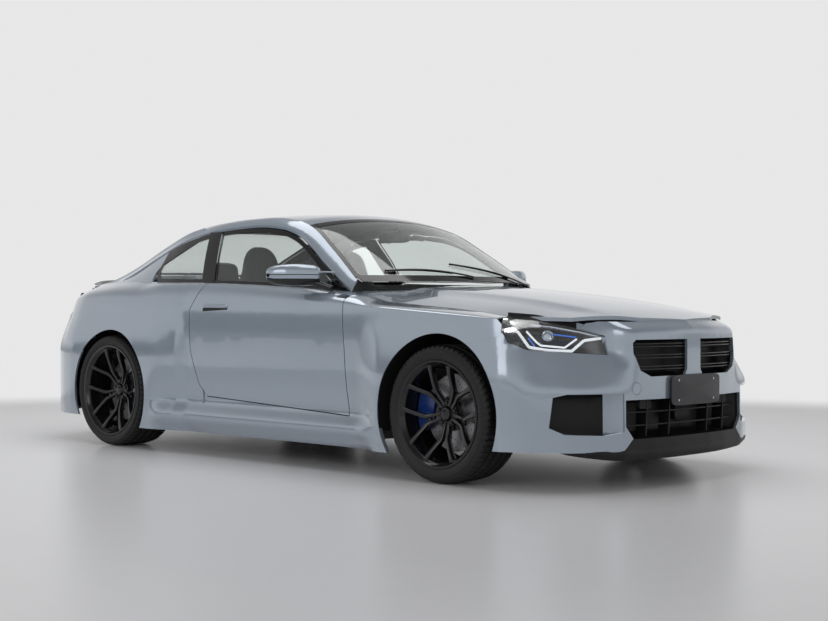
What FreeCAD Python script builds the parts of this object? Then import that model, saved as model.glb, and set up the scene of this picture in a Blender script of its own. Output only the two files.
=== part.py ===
import FreeCAD, Part
import Sketcher
import math
import os

Vector = FreeCAD.Vector
doc = FreeCAD.newDocument("CoupeCar")
sheet = doc.addObject("Spreadsheet::Sheet", "Sizes")

# Driving dimensions, millimetres and degrees: alias, value
SIZES = [
    ("car_length", 4580), ("body_height", 1403), ("front_axle_x", 1435), ("rear_axle_x", -1312),
    ("front_half_track", 795), ("rear_half_track", 790), ("kingpin_y", 725),
    ("front_tyre_radius", 337.5), ("front_tyre_width", 275), ("front_rim_radius", 254),
    ("rear_tyre_radius", 339.5), ("rear_tyre_width", 285), ("rear_rim_radius", 267),
    ("rim_wall", 9), ("disc_radius", 190), ("disc_thickness", 32), ("hub_radius", 74),
    ("front_arch_radius", 392), ("rear_arch_radius", 374), ("arch_centre_z", 337),
    ("shut_gap", 5), ("seam_gap", 0.3), ("seat_gap", 0.3), ("clearance", 6),
    ("skin", 5), ("door_thickness", 112), ("bonnet_thickness", 18), ("boot_lid_thickness", 22),
    ("glass_thickness", 5), ("roof_thickness", 14), ("liner_wall", 5),
    ("floor_z", 185), ("floor_thickness", 22), ("sill_half_width", 858.5), ("sill_inner_y", 735),
    ("firewall_x", 985), ("rear_bulkhead_x", -1010), ("boot_floor_z", 440), ("wide_floor_end", -905),
    ("steering_wheel_radius", 185), ("steering_wheel_x", 330), ("steering_wheel_z", 800),
    ("seat_y", 370), ("seat_x", -80), ("seat_width", 460),
    ("plate_width", 400), ("plate_height", 130), ("door_hinge_x", 650), ("door_hinge_y", 865),
]
for row, (alias, value) in enumerate(SIZES, start=1):
    sheet.set("A%d" % row, alias)
    sheet.set("B%d" % row, str(value))
    sheet.setAlias("B%d" % row, alias)
doc.recompute()


def size(alias):
    return float(sheet.get(alias))


# Smooth steps and master lines

def ease(start, end, x):
    t = max(0.0, min(1.0, (x - start) / (end - start)))
    return t * t * (3 - 2 * t)


def line_at(points, x):
    """A monotone cubic line through a few (position, value) points."""
    p = sorted(points)
    last = len(p) - 1

    def secant(k):
        return (p[k + 1][1] - p[k][1]) / (p[k + 1][0] - p[k][0])

    def slope(k):
        if k == 0:
            return secant(0)
        if k == last:
            return secant(last - 1)
        before, after = secant(k - 1), secant(k)
        if before * after <= 0:
            return 0.0
        wide, narrow = p[k][0] - p[k - 1][0], p[k + 1][0] - p[k][0]
        return 3 * (wide + narrow) / ((2 * narrow + wide) / before + (narrow + 2 * wide) / after)

    if x <= p[0][0]:
        return p[0][1] + secant(0) * (x - p[0][0])
    if x >= p[last][0]:
        return p[last][1] + secant(last - 1) * (x - p[last][0])
    i = 0
    while x > p[i + 1][0]:
        i += 1
    step = p[i + 1][0] - p[i][0]
    t = (x - p[i][0]) / step
    return ((1 + 2 * t) * (1 - t) ** 2 * p[i][1] + t * (1 - t) ** 2 * step * slope(i)
            + t * t * (3 - 2 * t) * p[i + 1][1] + t * t * (t - 1) * step * slope(i + 1))


def bezier(points, t):
    """A point of the Bezier curve over these control points."""
    work = list(points)
    while len(work) > 1:
        work = [tuple(a + (b - a) * t for a, b in zip(p, q)) for p, q in zip(work, work[1:])]
    return work[0]


# Plan, section and edge lines of the body, for the left half (y > 0)
WAIST_PLAN = [(1950, 822), (1880, 866), (1820, 888), (1600, 893), (1000, 893), (300, 892), (-200, 894),
              (-600, 895), (-1000, 893), (-1400, 888), (-1676, 888), (-1800, 872), (-1900, 840), (-2000, 785)]
WAIST_SECTION = [(120, -34), (160, -14), (200, 16), (240, 14), (290, -12), (330, -16), (420, -6), (540, 0),
                 (700, 0), (790, -4), (860, -12), (920, -30)]
ARCH_SECTION = [(120, -12), (300, -2), (540, 0), (700, 0), (790, -4), (860, -12), (920, -30)]
FRONT_FADE = [(1060, 30), (1600, 34), (1750, 44), (1820, 58), (1880, 82), (1950, 112)]
REAR_FADE = [(-2000, 105), (-1900, 92), (-1800, 72), (-1600, 52), (-1200, 40), (-700, 40)]
CREASE_Z = [(1950, 796), (1600, 812), (1300, 830), (1000, 850), (700, 868), (300, 880), (-200, 890),
            (-600, 896), (-1000, 902), (-1400, 908), (-1900, 880)]
EDGE_Y = [(2000, 800), (1778, 790), (1605, 780), (1357, 765), (1101, 755), (925, 747), (740, 745),
          (620, 762), (300, 792), (-200, 805), (-445, 804), (-800, 792), (-1071, 765), (-1400, 712),
          (-1700, 672), (-2000, 610)]
EDGE_Z = [(2000, 785), (1778, 811), (1605, 832), (1357, 852), (1101, 869), (925, 883), (740, 925),
          (620, 938), (300, 960), (-200, 983), (-445, 991), (-800, 997), (-1071, 1003), (-1400, 1012),
          (-1700, 1002), (-2000, 960)]
CORNER_Y = [(661, 738), (400, 684), (120, 626), (-249, 602), (-600, 598), (-900, 590), (-1200, 590),
            (-1500, 594), (-1750, 596), (-1980, 598)]
CORNER_Z = [(661, 972), (400, 1138), (120, 1304), (-20, 1345), (-249, 1366), (-600, 1352), (-900, 1312),
            (-1200, 1215), (-1500, 1095), (-1750, 1020), (-1980, 984)]
ROOF_Z = [(960, 985), (700, 1118), (420, 1262), (180, 1366), (40, 1395), (-150, 1403), (-400, 1400),
          (-700, 1380), (-950, 1337), (-1300, 1206), (-1650, 1062), (-1800, 1030), (-2150, 1000)]
ROOF_DROP = [(960, 172), (661, 156), (400, 118), (120, 70), (-249, 37), (-600, 36), (-900, 28),
             (-1500, 26), (-1750, 16), (-1980, 28)]
BONNET_Z = [(2240, 798), (2140, 826), (2040, 850), (1700, 905), (1357, 943), (1100, 964), (900, 978), (760, 986)]


def side_y(x, z):
    """Half width of the lower body at a station and height."""
    arch = max(ease(880, 1040, x), 1 - ease(-920, -760, x))
    section = (1 - arch) * line_at(WAIST_SECTION, z) + arch * line_at(ARCH_SECTION, z)
    front = ease(820, 1070, x) * (50 - line_at(FRONT_FADE, x) * ease(500, 840, z))
    start = -585 - 35 * ease(700, 840, z)
    swell = 0.5 * (1 - ease(start - 80, start, x)) + 0.5 * (1 - ease(-900, -640, x))
    rear = swell * (50 - line_at(REAR_FADE, x) * ease(560, 900, z))
    return line_at(WAIST_PLAN, x) + section + front + rear


def side_point(x, v):
    """The body side from the sill (v 0) over the crease (v 0.6) to the belt edge (v 1)."""
    crease = line_at(CREASE_Z, x)
    low = 128
    if v <= 0.6:
        z = low + (crease - low) * v / 0.6
        return (x, side_y(x, z), z)
    top_y, top_z = line_at(EDGE_Y, x), line_at(EDGE_Z, x)
    start_y = side_y(x, crease)
    lean = side_y(x, crease) - side_y(x, crease - 20)
    rise = top_z - crease
    drop = start_y - top_y
    pillar = 1 - ease(-1150, -900, x)
    first = (start_y + lean * 0.02 * rise, crease + rise * 0.55)
    last = (top_y + drop * (0.55 - 0.35 * pillar), top_z - rise * (0.12 + 0.1 * pillar))
    y, z = bezier([(start_y, crease), first, last, (top_y, top_z)], (v - 0.6) / 0.4)
    return (x, y, z)


def house_point(x, v):
    """The side of the greenhouse from the belt edge (v 0) to the roof corner (v 1)."""
    low = (line_at(EDGE_Y, x) - 14, line_at(EDGE_Z, x) - 8)
    high = (line_at(CORNER_Y, x), line_at(CORNER_Z, x))
    middle = (0.5 * (low[0] + high[0]) + 16, 0.5 * (low[1] + high[1]) + 6)
    y, z = (a + (b - a) * v for a, b in zip(low, high))
    if 0 < v < 1:
        y, z = bezier([low, middle, high], v)
    return (x, y, z)


def top_z(x, y):
    """Height of the windscreen, roof, rear window and deck."""
    share = abs(y) / line_at(CORNER_Y, min(x, 661))
    return line_at(ROOF_Z, x) - line_at(ROOF_DROP, x) * share ** 2.2


def bonnet_z(x, y):
    """Height of the bonnet, crowned between its side edges, with two raised lines."""
    edge_y, edge_z = line_at(EDGE_Y, x), line_at(EDGE_Z, x)
    centre = line_at(BONNET_Z, x)
    share = abs(y) / edge_y
    bulge = 9 * ease(520, 400, abs(y)) * ease(2150, 1900, x) * ease(700, 800, x)
    return centre - 9 * ease(2150, 1900, x) - (centre - edge_z - 9 * ease(2150, 1900, x)) * share ** 2.3 + bulge


# Nose: x of the surface at each (half width, height); the outer columns lie on the body side
NOSE_Y = [0, 150, 300, 430, 500, 620, 740, 815]
NOSE_X = [(128, [2262, 2261, 2250, 2232, 2222, 2178, 2105, 2015]),
          (200, [2285, 2284, 2272, 2252, 2243, 2195, 2125, 2035]),
          (460, [2287, 2286, 2273, 2252, 2240, 2195, 2122, 2030]),
          (560, [2290, 2288, 2273, 2250, 2215, 2150, 2070, 1978]),
          (650, [2290, 2288, 2271, 2245, 2140, 2090, 2010, 1930]),
          (740, [2288, 2284, 2265, 2235, 2122, 2065, 1950, 1870]),
          (805, [2232, 2214, 2182, 2128, 2095, 2030, 1880, 1800])]
NOSE_SIDE_X = [1880, 1830, 1780, 1720, 1660, 1600]


def nose_row(z):
    front = [(line_at([(level, row[i]) for level, row in NOSE_X], z), y) for i, y in enumerate(NOSE_Y)]
    side = [(x, side_y(x, z)) for x in NOSE_SIDE_X if x < front[-1][0] - 25]
    return front + side


# Tail: the same, from the centre round the corner to the body side
TAIL_Y = [0, 250, 480, 640]
TAIL_X = [(160, [-2225, -2205, -2160, -2085]), (300, [-2285, -2268, -2225, -2150]),
          (600, [-2290, -2275, -2240, -2170]), (700, [-2262, -2248, -2205, -2125]),
          (780, [-2222, -2206, -2152, -2060]), (894, [-2188, -2170, -2112, -2012]),
          (1000, [-2160, -2135, -2060, -1950])]
TAIL_SIDE_X = [-2000, -1900, -1800, -1700, -1600]


def tail_row(z):
    back = [(line_at([(level, row[i]) for level, row in TAIL_X], z), y) for i, y in enumerate(TAIL_Y)]
    side = [(x, side_y(x, z)) for x in TAIL_SIDE_X if x > back[-1][0] + 40]
    return back + side


# Shape tools

def skin_face(rows):
    surface = Part.BSplineSurface()
    surface.interpolate([[Vector(*p) for p in row] for row in rows])
    return surface.toShape()


def steps(start, end, count):
    return [start + (end - start) * i / (count - 1) for i in range(count)]


def polygon(points, plane, low, high):
    """A prism over an outline; plane is the axis that it runs along."""
    place = {"Y": lambda a, b: Vector(a, low, b), "X": lambda a, b: Vector(low, a, b),
             "Z": lambda a, b: Vector(a, b, low)}[plane]
    wire = Part.makePolygon([place(a, b) for a, b in points] + [place(*points[0])])
    along = {"X": Vector(high - low, 0, 0), "Y": Vector(0, high - low, 0), "Z": Vector(0, 0, high - low)}[plane]
    return Part.Face(wire).extrude(along)


def grown(points, plane, low, high, gap):
    """The same prism with its outline moved outwards by a gap."""
    place = {"Y": lambda a, b: Vector(a, low, b), "X": lambda a, b: Vector(low, a, b),
             "Z": lambda a, b: Vector(a, b, low)}[plane]
    wire = Part.makePolygon([place(a, b) for a, b in points] + [place(*points[0])])
    wire = wire.makeOffset2D(gap, join=2)
    along = {"X": Vector(high - low, 0, 0), "Y": Vector(0, high - low, 0), "Z": Vector(0, 0, high - low)}[plane]
    return Part.Face(wire).extrude(along)


def mirrored(shape):
    return shape.mirror(Vector(0, 0, 0), Vector(0, 1, 0))


def largest(shape):
    return max(shape.Solids, key=lambda s: s.Volume)


def box(x0, x1, y0, y1, z0, z1):
    return Part.makeBox(x1 - x0, y1 - y0, z1 - z0, Vector(x0, y0, z0))


def disc_y(radius, x, z, y0, y1):
    return Part.makeCylinder(radius, y1 - y0, Vector(x, y0, z), Vector(0, 1, 0))


def bar(start, end, radius):
    start, end = Vector(*start), Vector(*end)
    return Part.makeCylinder(radius, (end - start).Length, start, end - start)


parts = {}


def add(node, shape, place=None):
    """Each piece is one object with its own label."""
    feature = doc.addObject("Part::Feature", node)
    feature.Label = node
    feature.Shape = shape
    feature.Placement = place or FreeCAD.Placement()
    parts[node] = feature
    return feature


def add_pair(node, left_shape):
    add(node + "_left", left_shape)
    add(node + "_right", mirrored(left_shape))


# Body side: one skin, cut at the shut lines
gap = size("shut_gap")
seam = size("seam_gap")
side_rows = [[side_point(x, v) for v in steps(0, 1, 31)] for x in steps(1900, -1900, 96)]
side_face = skin_face(side_rows)
side_skin = side_face.extrude(Vector(0, -size("skin"), -size("skin") * 0.8))
door_block = side_face.extrude(Vector(0, -size("door_thickness"), 0))

DOOR = [(717, 940), (749, 632), (774, 295), (-399, 344), (-463, 404), (-542, 603), (-560, 834), (-446, 1040),
        (717, 1040)]
FENDER_BACK = [(717, 1040), (717, 940), (749, 632), (774, 295), (774, 249), (1500, 249), (1560, 676), (1617, 682),
               (1817, 722), (1812, 776), (1775, 812), (1775, 1040)]
SKIRT = [(1100, 100), (1100, 249), (774, 249), (774, 295), (-399, 344), (-430, 300), (-1000, 300), (-1000, 100)]
arch_front = disc_y(size("front_arch_radius"), size("front_axle_x"), size("arch_centre_z"), 300, 1200)
arch_rear = disc_y(size("rear_arch_radius"), size("rear_axle_x") + 8, size("arch_centre_z"), 300, 1200)
door_hole = grown(DOOR, "Y", 300, 1200, gap)

door = largest(door_block.common(polygon(DOOR, "Y", 300, 1200)))
fender_zone = polygon(FENDER_BACK, "Y", 300, 1200)
fender = largest(side_skin.common(fender_zone).cut(door_hole).cut(arch_front))
skirt = largest(side_face.extrude(Vector(0, -24, 0)).common(polygon(SKIRT, "Y", 300, 1200)).cut(door_hole)
                .cut(grown(FENDER_BACK, "Y", 300, 1200, seam)).cut(arch_front).cut(arch_rear))
# Door hinge line: the block is thin ahead of it, and the body is open where the door's edge swings in
hinge_x, hinge_y = size("door_hinge_x"), size("door_hinge_y")
flange_room = box(hinge_x, 1000, 300, hinge_y - 10, 0, 1100)
door = largest(door.cut(flange_room).cut(box(-1000, 1000, 300, 1200, 1000, 1100)))
add_pair("door", door)
add_pair("side_skirt", skirt)

# Quarter panel with the rear pillar, behind the door
TAIL_LINE = [(-1600, 640), (-1700, 700), (-1880, 740), (-1905, 764), (-1932, 894), (-1932, 960)]
quarter_zone = polygon([(-300, 1045), (-300, 300), (-1560, 300)] + TAIL_LINE + [(-1932, 1045)], "Y", 300, 1200)
quarter = side_skin.common(quarter_zone).cut(door_hole).cut(arch_rear)
quarter = quarter.cut(grown(SKIRT, "Y", 300, 1200, seam)).cut(box(-440, 0, 300, 1200, 0, 1100))
quarter = largest(quarter)

house_rows = [[house_point(x, v) for v in steps(0, 1, 11)] for x in steps(655, -1740, 70)]
house_face = skin_face(house_rows)
QUARTER_GLASS_BACK = [(-1071, 1000), (-1122, 1060), (-1111, 1077)]


def pillar_point(x, v):
    """The rear pillar sweeps up out of the shoulder to the roof corner."""
    foot = (line_at(EDGE_Y, x) + 34, line_at(EDGE_Z, x) - 24)
    bend = (line_at(EDGE_Y, x) - 16, line_at(EDGE_Z, x) + 4)
    y, z = bezier([foot, bend, (line_at(CORNER_Y, x) + 30, line_at(CORNER_Z, x) - 50),
                   (line_at(CORNER_Y, x), line_at(CORNER_Z, x))], v)
    return (x, y, z)


pillar_face = skin_face([[pillar_point(x, v) for v in steps(0, 1, 13)] for x in steps(-780, -1960, 50)])
pillar = pillar_face.extrude(Vector(0, -10, -6))
pillar_zone = [(-1075, 930), (-1122, 1060), (-1110, 1090), (-800, 1240), (-800, 1420), (-1932, 1420), (-1932, 930)]
pillar = pillar.common(polygon(pillar_zone, "Y", 300, 1200))


def rail_width(x):
    return line_at([(655, 27), (400, 38), (120, 40), (-600, 42), (-1000, 52), (-1720, 60)], x)


def rail_point(x, a):
    """The roof rail rolls from the side of the greenhouse (a 0) to the roof (a 1)."""
    width = rail_width(x)
    corner = (line_at(CORNER_Y, x), line_at(CORNER_Z, x))
    rise = corner[1] - line_at(EDGE_Z, x)
    low = house_point(x, max(0.0, 1 - width / rise))
    inner = corner[0] - width
    y, z = bezier([(low[1], low[2]), corner, (inner, top_z(x, inner))], a)
    return (x, y, z)


RAIL_END = -1640
rail_rows = [[rail_point(x, a) for a in steps(0, 1, 9)] for x in steps(655, RAIL_END, 70)]
rail = skin_face(rail_rows).extrude(Vector(0, 0, -size("roof_thickness")))
pillar = pillar.cut(rail)
quarter = quarter.fuse(largest(pillar))
print("quarter solids", len(quarter.Solids), "pillar", len(pillar.Solids))
quarter = largest(quarter)
add_pair("roof_rail", rail)

# Roof and the glass
top_rows = [[(x, y, top_z(x, y)) for y in steps(-760, 760, 31)] for x in steps(985, -2150, 90)]
top_face = skin_face(top_rows)


def rail_inner(x):
    return line_at(CORNER_Y, x) - rail_width(x)


def screen_base(y):
    return 950 - 289 * (y / 727.0) ** 2


def header(y):
    return 180 - 37 * (y / 575.0) ** 2


def mirrored_outline(half):
    """Close an outline given for y > 0 across the centre plane."""
    return half + [(x, -y) for x, y in reversed(half) if y > 0]


fit = size("seat_gap")
ROOF_BACK = -935
roof_half = [(header(y), y) for y in steps(0, 540, 10)] + [
    (x, rail_inner(x) - fit) for x in steps(header(575), ROOF_BACK, 40)] + [(ROOF_BACK, 0)]
roof_slab = top_face.extrude(Vector(0, 0, -size("roof_thickness")))
roof = roof_slab.common(polygon(mirrored_outline(roof_half), "Z", 900, 1500))
add("roof_panel", roof)

glass_slab = top_face.extrude(Vector(0, 0, -size("glass_thickness")))
screen_half = [(screen_base(y), y) for y in steps(0, 700, 12)] + [
    (x, rail_inner(x) - fit) for x in steps(650, header(575), 24)] + [(header(y) + fit, y) for y in steps(540, 0, 10)]
add("windscreen", largest(glass_slab.common(polygon(mirrored_outline(screen_half), "Z", 900, 1500))))
REAR_GLASS_END = -1635
rear_half = [(ROOF_BACK - fit, 0)] + [(x, rail_inner(x) - fit) for x in
             steps(ROOF_BACK - fit, REAR_GLASS_END, 30)] + [(REAR_GLASS_END, 0)]
add("rear_window", largest(glass_slab.common(polygon(mirrored_outline(rear_half), "Z", 900, 1500))))

belt_line = [(x, line_at(EDGE_Z, x) + fit) for x in steps(640, -445, 40)]
DOOR_GLASS_TOP = [(x, rail_point(x, 0)[2] - size("roof_thickness") - gap) for x in steps(-556, 610, 40)]
house_glass = house_face.extrude(Vector(0, -size("glass_thickness"), 0))
door_glass = largest(house_glass.common(polygon(belt_line + DOOR_GLASS_TOP, "Y", 300, 1200)))
QUARTER_GLASS = [(-474, 1045), (-457, 1003)] + [(x, line_at(EDGE_Z, x) + 3 * fit) for x in steps(-470, -1066, 20)] + [
    (-1108, 1064)] + [(x, rail_point(x, 0)[2] - size("roof_thickness") - fit) for x in steps(-1090, -572, 20)]
quarter_glass = largest(house_glass.common(polygon(QUARTER_GLASS, "Y", 300, 1200)).cut(pillar))
add_pair("door_glass", door_glass)
add_pair("quarter_glass", quarter_glass)

# Bonnet
bonnet_rows = [[(x, y, bonnet_z(x, y)) for y in steps(-800, 800, 61)] for x in steps(2250, 640, 60)]
bonnet_slab = skin_face(bonnet_rows).extrude(Vector(0, 0, -size("bonnet_thickness")))
BONNET_FRONT = [(0, 2238), (100, 2222), (200, 2209), (300, 2192), (400, 2136), (500, 2093), (640, 2036), (700, 1940),
                (780, 1772)]
bonnet_half = [(x, y) for y, x in BONNET_FRONT]
bonnet_half += [(x, line_at(EDGE_Y, x) - gap) for x in steps(1730, 740, 34)]
bonnet_half += [(screen_base(y) + 12 + 14 * (1 - y / 727), y) for y in (706, 640, 570, 500, 400, 300, 200, 100, 0)]
bonnet = largest(bonnet_slab.common(polygon(mirrored_outline(bonnet_half), "Z", 600, 1200)))
add("bonnet", bonnet)
add_pair("fender", largest(fender.cut(grown(mirrored_outline(bonnet_half), "Z", 600, 1200, gap))))

# Boot lid: deck and rear face
tail_levels = steps(160, 1000, 31)
tail_rows = []


def resampled(points, count):
    """Points evenly along a smooth line through the given ones."""
    length = [0.0]
    for a, b in zip(points, points[1:]):
        length.append(length[-1] + math.hypot(b[0] - a[0], b[1] - a[1]))
    along_x = [(s, p[0]) for s, p in zip(length, points)]
    along_y = [(s, p[1]) for s, p in zip(length, points)]
    return [(line_at(along_x, s), line_at(along_y, s)) for s in steps(0, length[-1], count)]


tail_face = skin_face([[(x, y, z) for x, y in resampled(tail_row(z), 41)] for z in tail_levels])
LID_SIDE = 588
LID_FRONT = -1655
lid_half = [(LID_FRONT, 0), (LID_FRONT - 8, 300), (LID_FRONT - 30, LID_SIDE - 40), (LID_FRONT - 60, LID_SIDE),
            (-1975, LID_SIDE), (-2060, 420), (-2115, 250), (-2140, 0)]
lid_deck = top_face.extrude(Vector(0, 0, -size("boot_lid_thickness"))).common(
    polygon(mirrored_outline(lid_half), "Z", 900, 1200))
lid_face_zone = polygon([(-250, 740), (250, 740), (478, 770), (484, 905), (LID_SIDE, 925), (LID_SIDE, 975), (-LID_SIDE, 975),
                         (-LID_SIDE, 925), (-484, 905), (-478, 770)], "X", -2600, -1800)
lid_face = tail_face.extrude(Vector(22, -12, 0))
lid_face = lid_face.fuse(mirrored(lid_face))
lid_face = lid_face.common(lid_face_zone)
boot_lid = lid_deck.fuse(lid_face)
print("lid solids", len(boot_lid.Solids), len(lid_deck.Solids), len(lid_face.Solids))
add("boot_lid", largest(boot_lid))
add_pair("quarter_panel", largest(quarter.cut(grown(mirrored_outline(lid_half), "Z", 900, 1200, gap))))

# Rear bumper and lamps
bumper_rear = tail_face.extrude(Vector(10, -12, 0))
rear_zone = polygon([(0, 175), (960, 175), (960, 700), (880, 735), (830, 758), (500, 762), (472, 732), (0, 732)], "X", -2600, -1590)
bumper_half = bumper_rear.common(rear_zone).cut(arch_rear).cut(grown([(-300, 1045), (-300, 300), (-1560, 300)]
              + TAIL_LINE + [(-1932, 1045)], "Y", 600, 1200, seam))
add_pair("rear_bumper", largest(bumper_half))
lamp_zone = polygon([(492, 762.3), (500, 762.3), (830, 758.3), (800, 885), (760, 893), (492, 893)], "X", -2600, -1850)
lamp = tail_face.extrude(Vector(50, -40, 0)).common(lamp_zone).cut(grown([(-300, 1045), (-300, 300), (-1560, 300)]
              + TAIL_LINE + [(-1932, 1045)], "Y", 600, 1200, seam))
add_pair("tail_lamp", largest(lamp))

# Front bumper
front_x, front_z = size("front_axle_x"), size("front_tyre_radius")
nose_levels = steps(128, 805, 41)
nose_face = skin_face([[(x, y, z) for x, y in resampled(nose_row(z), 51)] for z in nose_levels])
nose_slab = nose_face.extrude(Vector(-14, -12, 0))
LAMP = [(893, 792), (795, 808), (640, 765), (500, 722), (500, 633), (697, 645), (825, 658), (888, 690)]
KIDNEY = [(57, 705), (57, 560), (75, 532), (330, 530), (400, 560), (436, 640), (436, 690), (420, 705)]
INTAKE = [(-495, 423), (-495, 300), (-440, 236), (440, 236), (495, 300), (495, 423)]
SIDE_INTAKE = [(505, 455), (505, 275), (600, 262), (770, 270), (812, 300), (800, 440), (760, 455)]
nose_top = [(0, 185), (960, 185), (960, 690), (893, 735), (885, 742), (640, 742), (560, 790), (500, 790), (400, 788), (300, 791), (100, 794), (0, 794)]
bumper = nose_slab.common(polygon(nose_top, "X", 1590, 2400))
bumper = bumper.cut(grown(LAMP, "X", 1500, 2400, seam)).cut(polygon(KIDNEY, "X", 2000, 2400))
bumper = bumper.cut(polygon(INTAKE, "X", 2000, 2400)).cut(polygon(SIDE_INTAKE, "X", 1900, 2400))
bumper = bumper.cut(grown(FENDER_BACK, "Y", 600, 1200, seam)).cut(arch_front)
bumper = bumper.cut(grown(mirrored_outline(bonnet_half), "Z", 700, 1200, gap))
bumper = largest(bumper)
bumper = bumper.fuse(mirrored(bumper))
print("bumper solids", len(bumper.Solids))
add("front_bumper", largest(bumper))
lens = nose_face.extrude(Vector(-90, -60, 0)).common(polygon(LAMP, "X", 1500, 2400))
lens = lens.cut(grown(FENDER_BACK, "Y", 300, 1200, seam)).cut(grown(mirrored_outline(bonnet_half), "Z", 600, 1200, gap))
lens = lens.cut(disc_y(size("front_arch_radius") + 18, front_x, front_z, 300, 900)).cut(arch_front)
add_pair("headlamp", largest(lens))

# Pieces bound to the sheet

def bound(kind, name, sizes, base, turn=None):
    """A primitive whose sizes and place are formulas of the sheet."""
    item = doc.addObject(kind, name)
    if turn:
        item.Placement = FreeCAD.Placement(Vector(), turn)
    for prop, formula in sizes.items():
        item.setExpression(prop, formula)
    for axis, formula in zip("xyz", base):
        item.setExpression("Placement.Base." + axis, formula)
    return item


def bound_box(name, x, y, z, length, width, height):
    return bound("Part::Box", name, {"Length": length, "Width": width, "Height": height}, (x, y, z))


def fused(node, items):
    joined = doc.addObject("Part::MultiFuse", node)
    joined.Label = node
    joined.Shapes = items
    parts[node] = joined
    return joined


def named(node, item):
    item.Label = node
    parts[node] = item
    return item


def turned_ring(node, outline, base):
    """A ring turned about its own Y axis; outline has (radius, across), each (alias, factor, offset)."""
    body = doc.addObject("PartDesign::Body", node)
    body.Label = node
    sketch = body.newObject("Sketcher::SketchObject", node + "_profile")
    plane = [f for f in body.Origin.OriginFeatures if f.Role == "XY_Plane"][0]
    sketch.AttachmentSupport = [(plane, "")]
    sketch.MapMode = "FlatFace"
    spots = [[size(alias) * factor + offset for alias, factor, offset in point] for point in outline]
    count = len(spots)
    for i in range(count):
        a, b = spots[i], spots[(i + 1) % count]
        sketch.addGeometry(Part.LineSegment(Vector(a[0], a[1], 0), Vector(b[0], b[1], 0)))
    for i in range(count):
        sketch.addConstraint(Sketcher.Constraint("Coincident", i, 2, (i + 1) % count, 1))
    for i, point in enumerate(outline):
        for kind, spot, (alias, factor, offset) in zip(("DistanceX", "DistanceY"), spots[i], point):
            index = sketch.addConstraint(Sketcher.Constraint(kind, -1, 1, i, 1, spot))
            sketch.setExpression("Constraints[%d]" % index, "Sizes.%s * %s + %s" % (alias, factor, offset))
    turn = body.newObject("PartDesign::Revolution", node + "_turn")
    turn.Profile = sketch
    turn.ReferenceAxis = (sketch, ["V_Axis"])
    turn.Angle = 360
    body.Tip = turn
    for axis, formula in zip("xyz", base):
        body.setExpression("Placement.Base." + axis, formula)
    parts[node] = body
    return body


WHEELS = [("front_left", "front", 1), ("front_right", "front", -1), ("rear_left", "rear", 1), ("rear_right", "rear", -1)]


def spoke(end, hub_y, lip_y, side, root):
    """One rim spoke, lofted from the hub pad out to the barrel; end is its angle in degrees."""
    angle = math.radians(end)
    wires = []
    for r, half, depth, y in ((root[0], 15, 24, hub_y), (root[1], 12, 24, hub_y + 0.3 * (lip_y - hub_y)),
                              (root[2], 13, 22, lip_y)):
        out = Vector(math.cos(angle), 0, math.sin(angle))
        wide = Vector(-math.sin(angle), 0, math.cos(angle))
        centre = out * r + Vector(0, side * y, 0)
        corners = [centre + wide * half, centre - wide * half,
                   centre - wide * half * 0.7 - Vector(0, side * depth, 0),
                   centre + wide * half * 0.7 - Vector(0, side * depth, 0)]
        wires.append(Part.makePolygon(corners + [corners[0]]))
    return Part.makeLoft(wires, True, True)


for where, axle, side in WHEELS:
    width, rim, tyre = axle + "_tyre_width", axle + "_rim_radius", axle + "_tyre_radius"
    base = ("Sizes.%s_axle_x" % axle, "%d * Sizes.%s_half_track" % (side, axle), "Sizes.%s" % tyre)
    turned_ring("tyre_" + where, [
        ((rim, 1, -13.7), (width, -0.5, 26)), ((rim, 1, 22), (width, -0.5, 8)), ((rim, 1, 48), (width, -0.5, 0)),
        ((tyre, 1, -10), (width, -0.5, 13)), ((tyre, 1, 0), (width, -0.5, 34)), ((tyre, 1, 0), (width, 0.5, -34)),
        ((tyre, 1, -10), (width, 0.5, -13)), ((rim, 1, 48), (width, 0.5, 0)), ((rim, 1, 22), (width, 0.5, -8)),
        ((rim, 1, -13.7), (width, 0.5, -26))], base)
    centre = Vector(size(axle + "_axle_x"), side * size(axle + "_half_track"), size(tyre))
    half = size(width) / 2
    lip = size(rim)
    ring = [(lip, half - 8), (lip, half - 16), (lip - 14, half - 22), (lip - 14, 22 - half), (lip, 16 - half),
            (lip, 8 - half), (lip - 9, 8 - half), (lip - 22, 26 - half), (lip - 22, half - 30), (lip - 9, half - 8)]
    profile = Part.makePolygon([Vector(r, a, 0) for r, a in ring] + [Vector(ring[0][0], ring[0][1], 0)])
    barrel = Part.Face(profile).revolve(Vector(0, 0, 0), Vector(0, 1, 0), 360)
    pad = disc_y(size("hub_radius"), 0, 0, 22, 56) if side > 0 else disc_y(size("hub_radius"), 0, 0, -56, -22)
    rim_shape = barrel.fuse([pad] + [spoke(36 * i, 58, half - 26, side, (52, 140, lip - 15)) for i in range(10)])
    rim_shape = rim_shape.removeSplitter()
    add("rim_" + where, rim_shape, FreeCAD.Placement(centre, FreeCAD.Rotation()))
    turned_ring("brake_disc_" + where, [
        ((("hub_radius"), 0, 30.08), (axle + "_tyre_width", 0, side * 21.7)), (("disc_radius", 0, 86), (width, 0, side * 21.7)),
        (("disc_radius", 0, 86), (width, 0, -side * 8)), (("disc_radius", 1, 0), (width, 0, -side * 8)),
        (("disc_radius", 1, 0), (width, 0, -side * 40)), (("disc_radius", 0, 78), (width, 0, -side * 40)),
        (("disc_radius", 0, 78), (width, 0, side * 13.7)), (("disc_radius", 0, 30.08), (width, 0, side * 13.7))], base)


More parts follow.
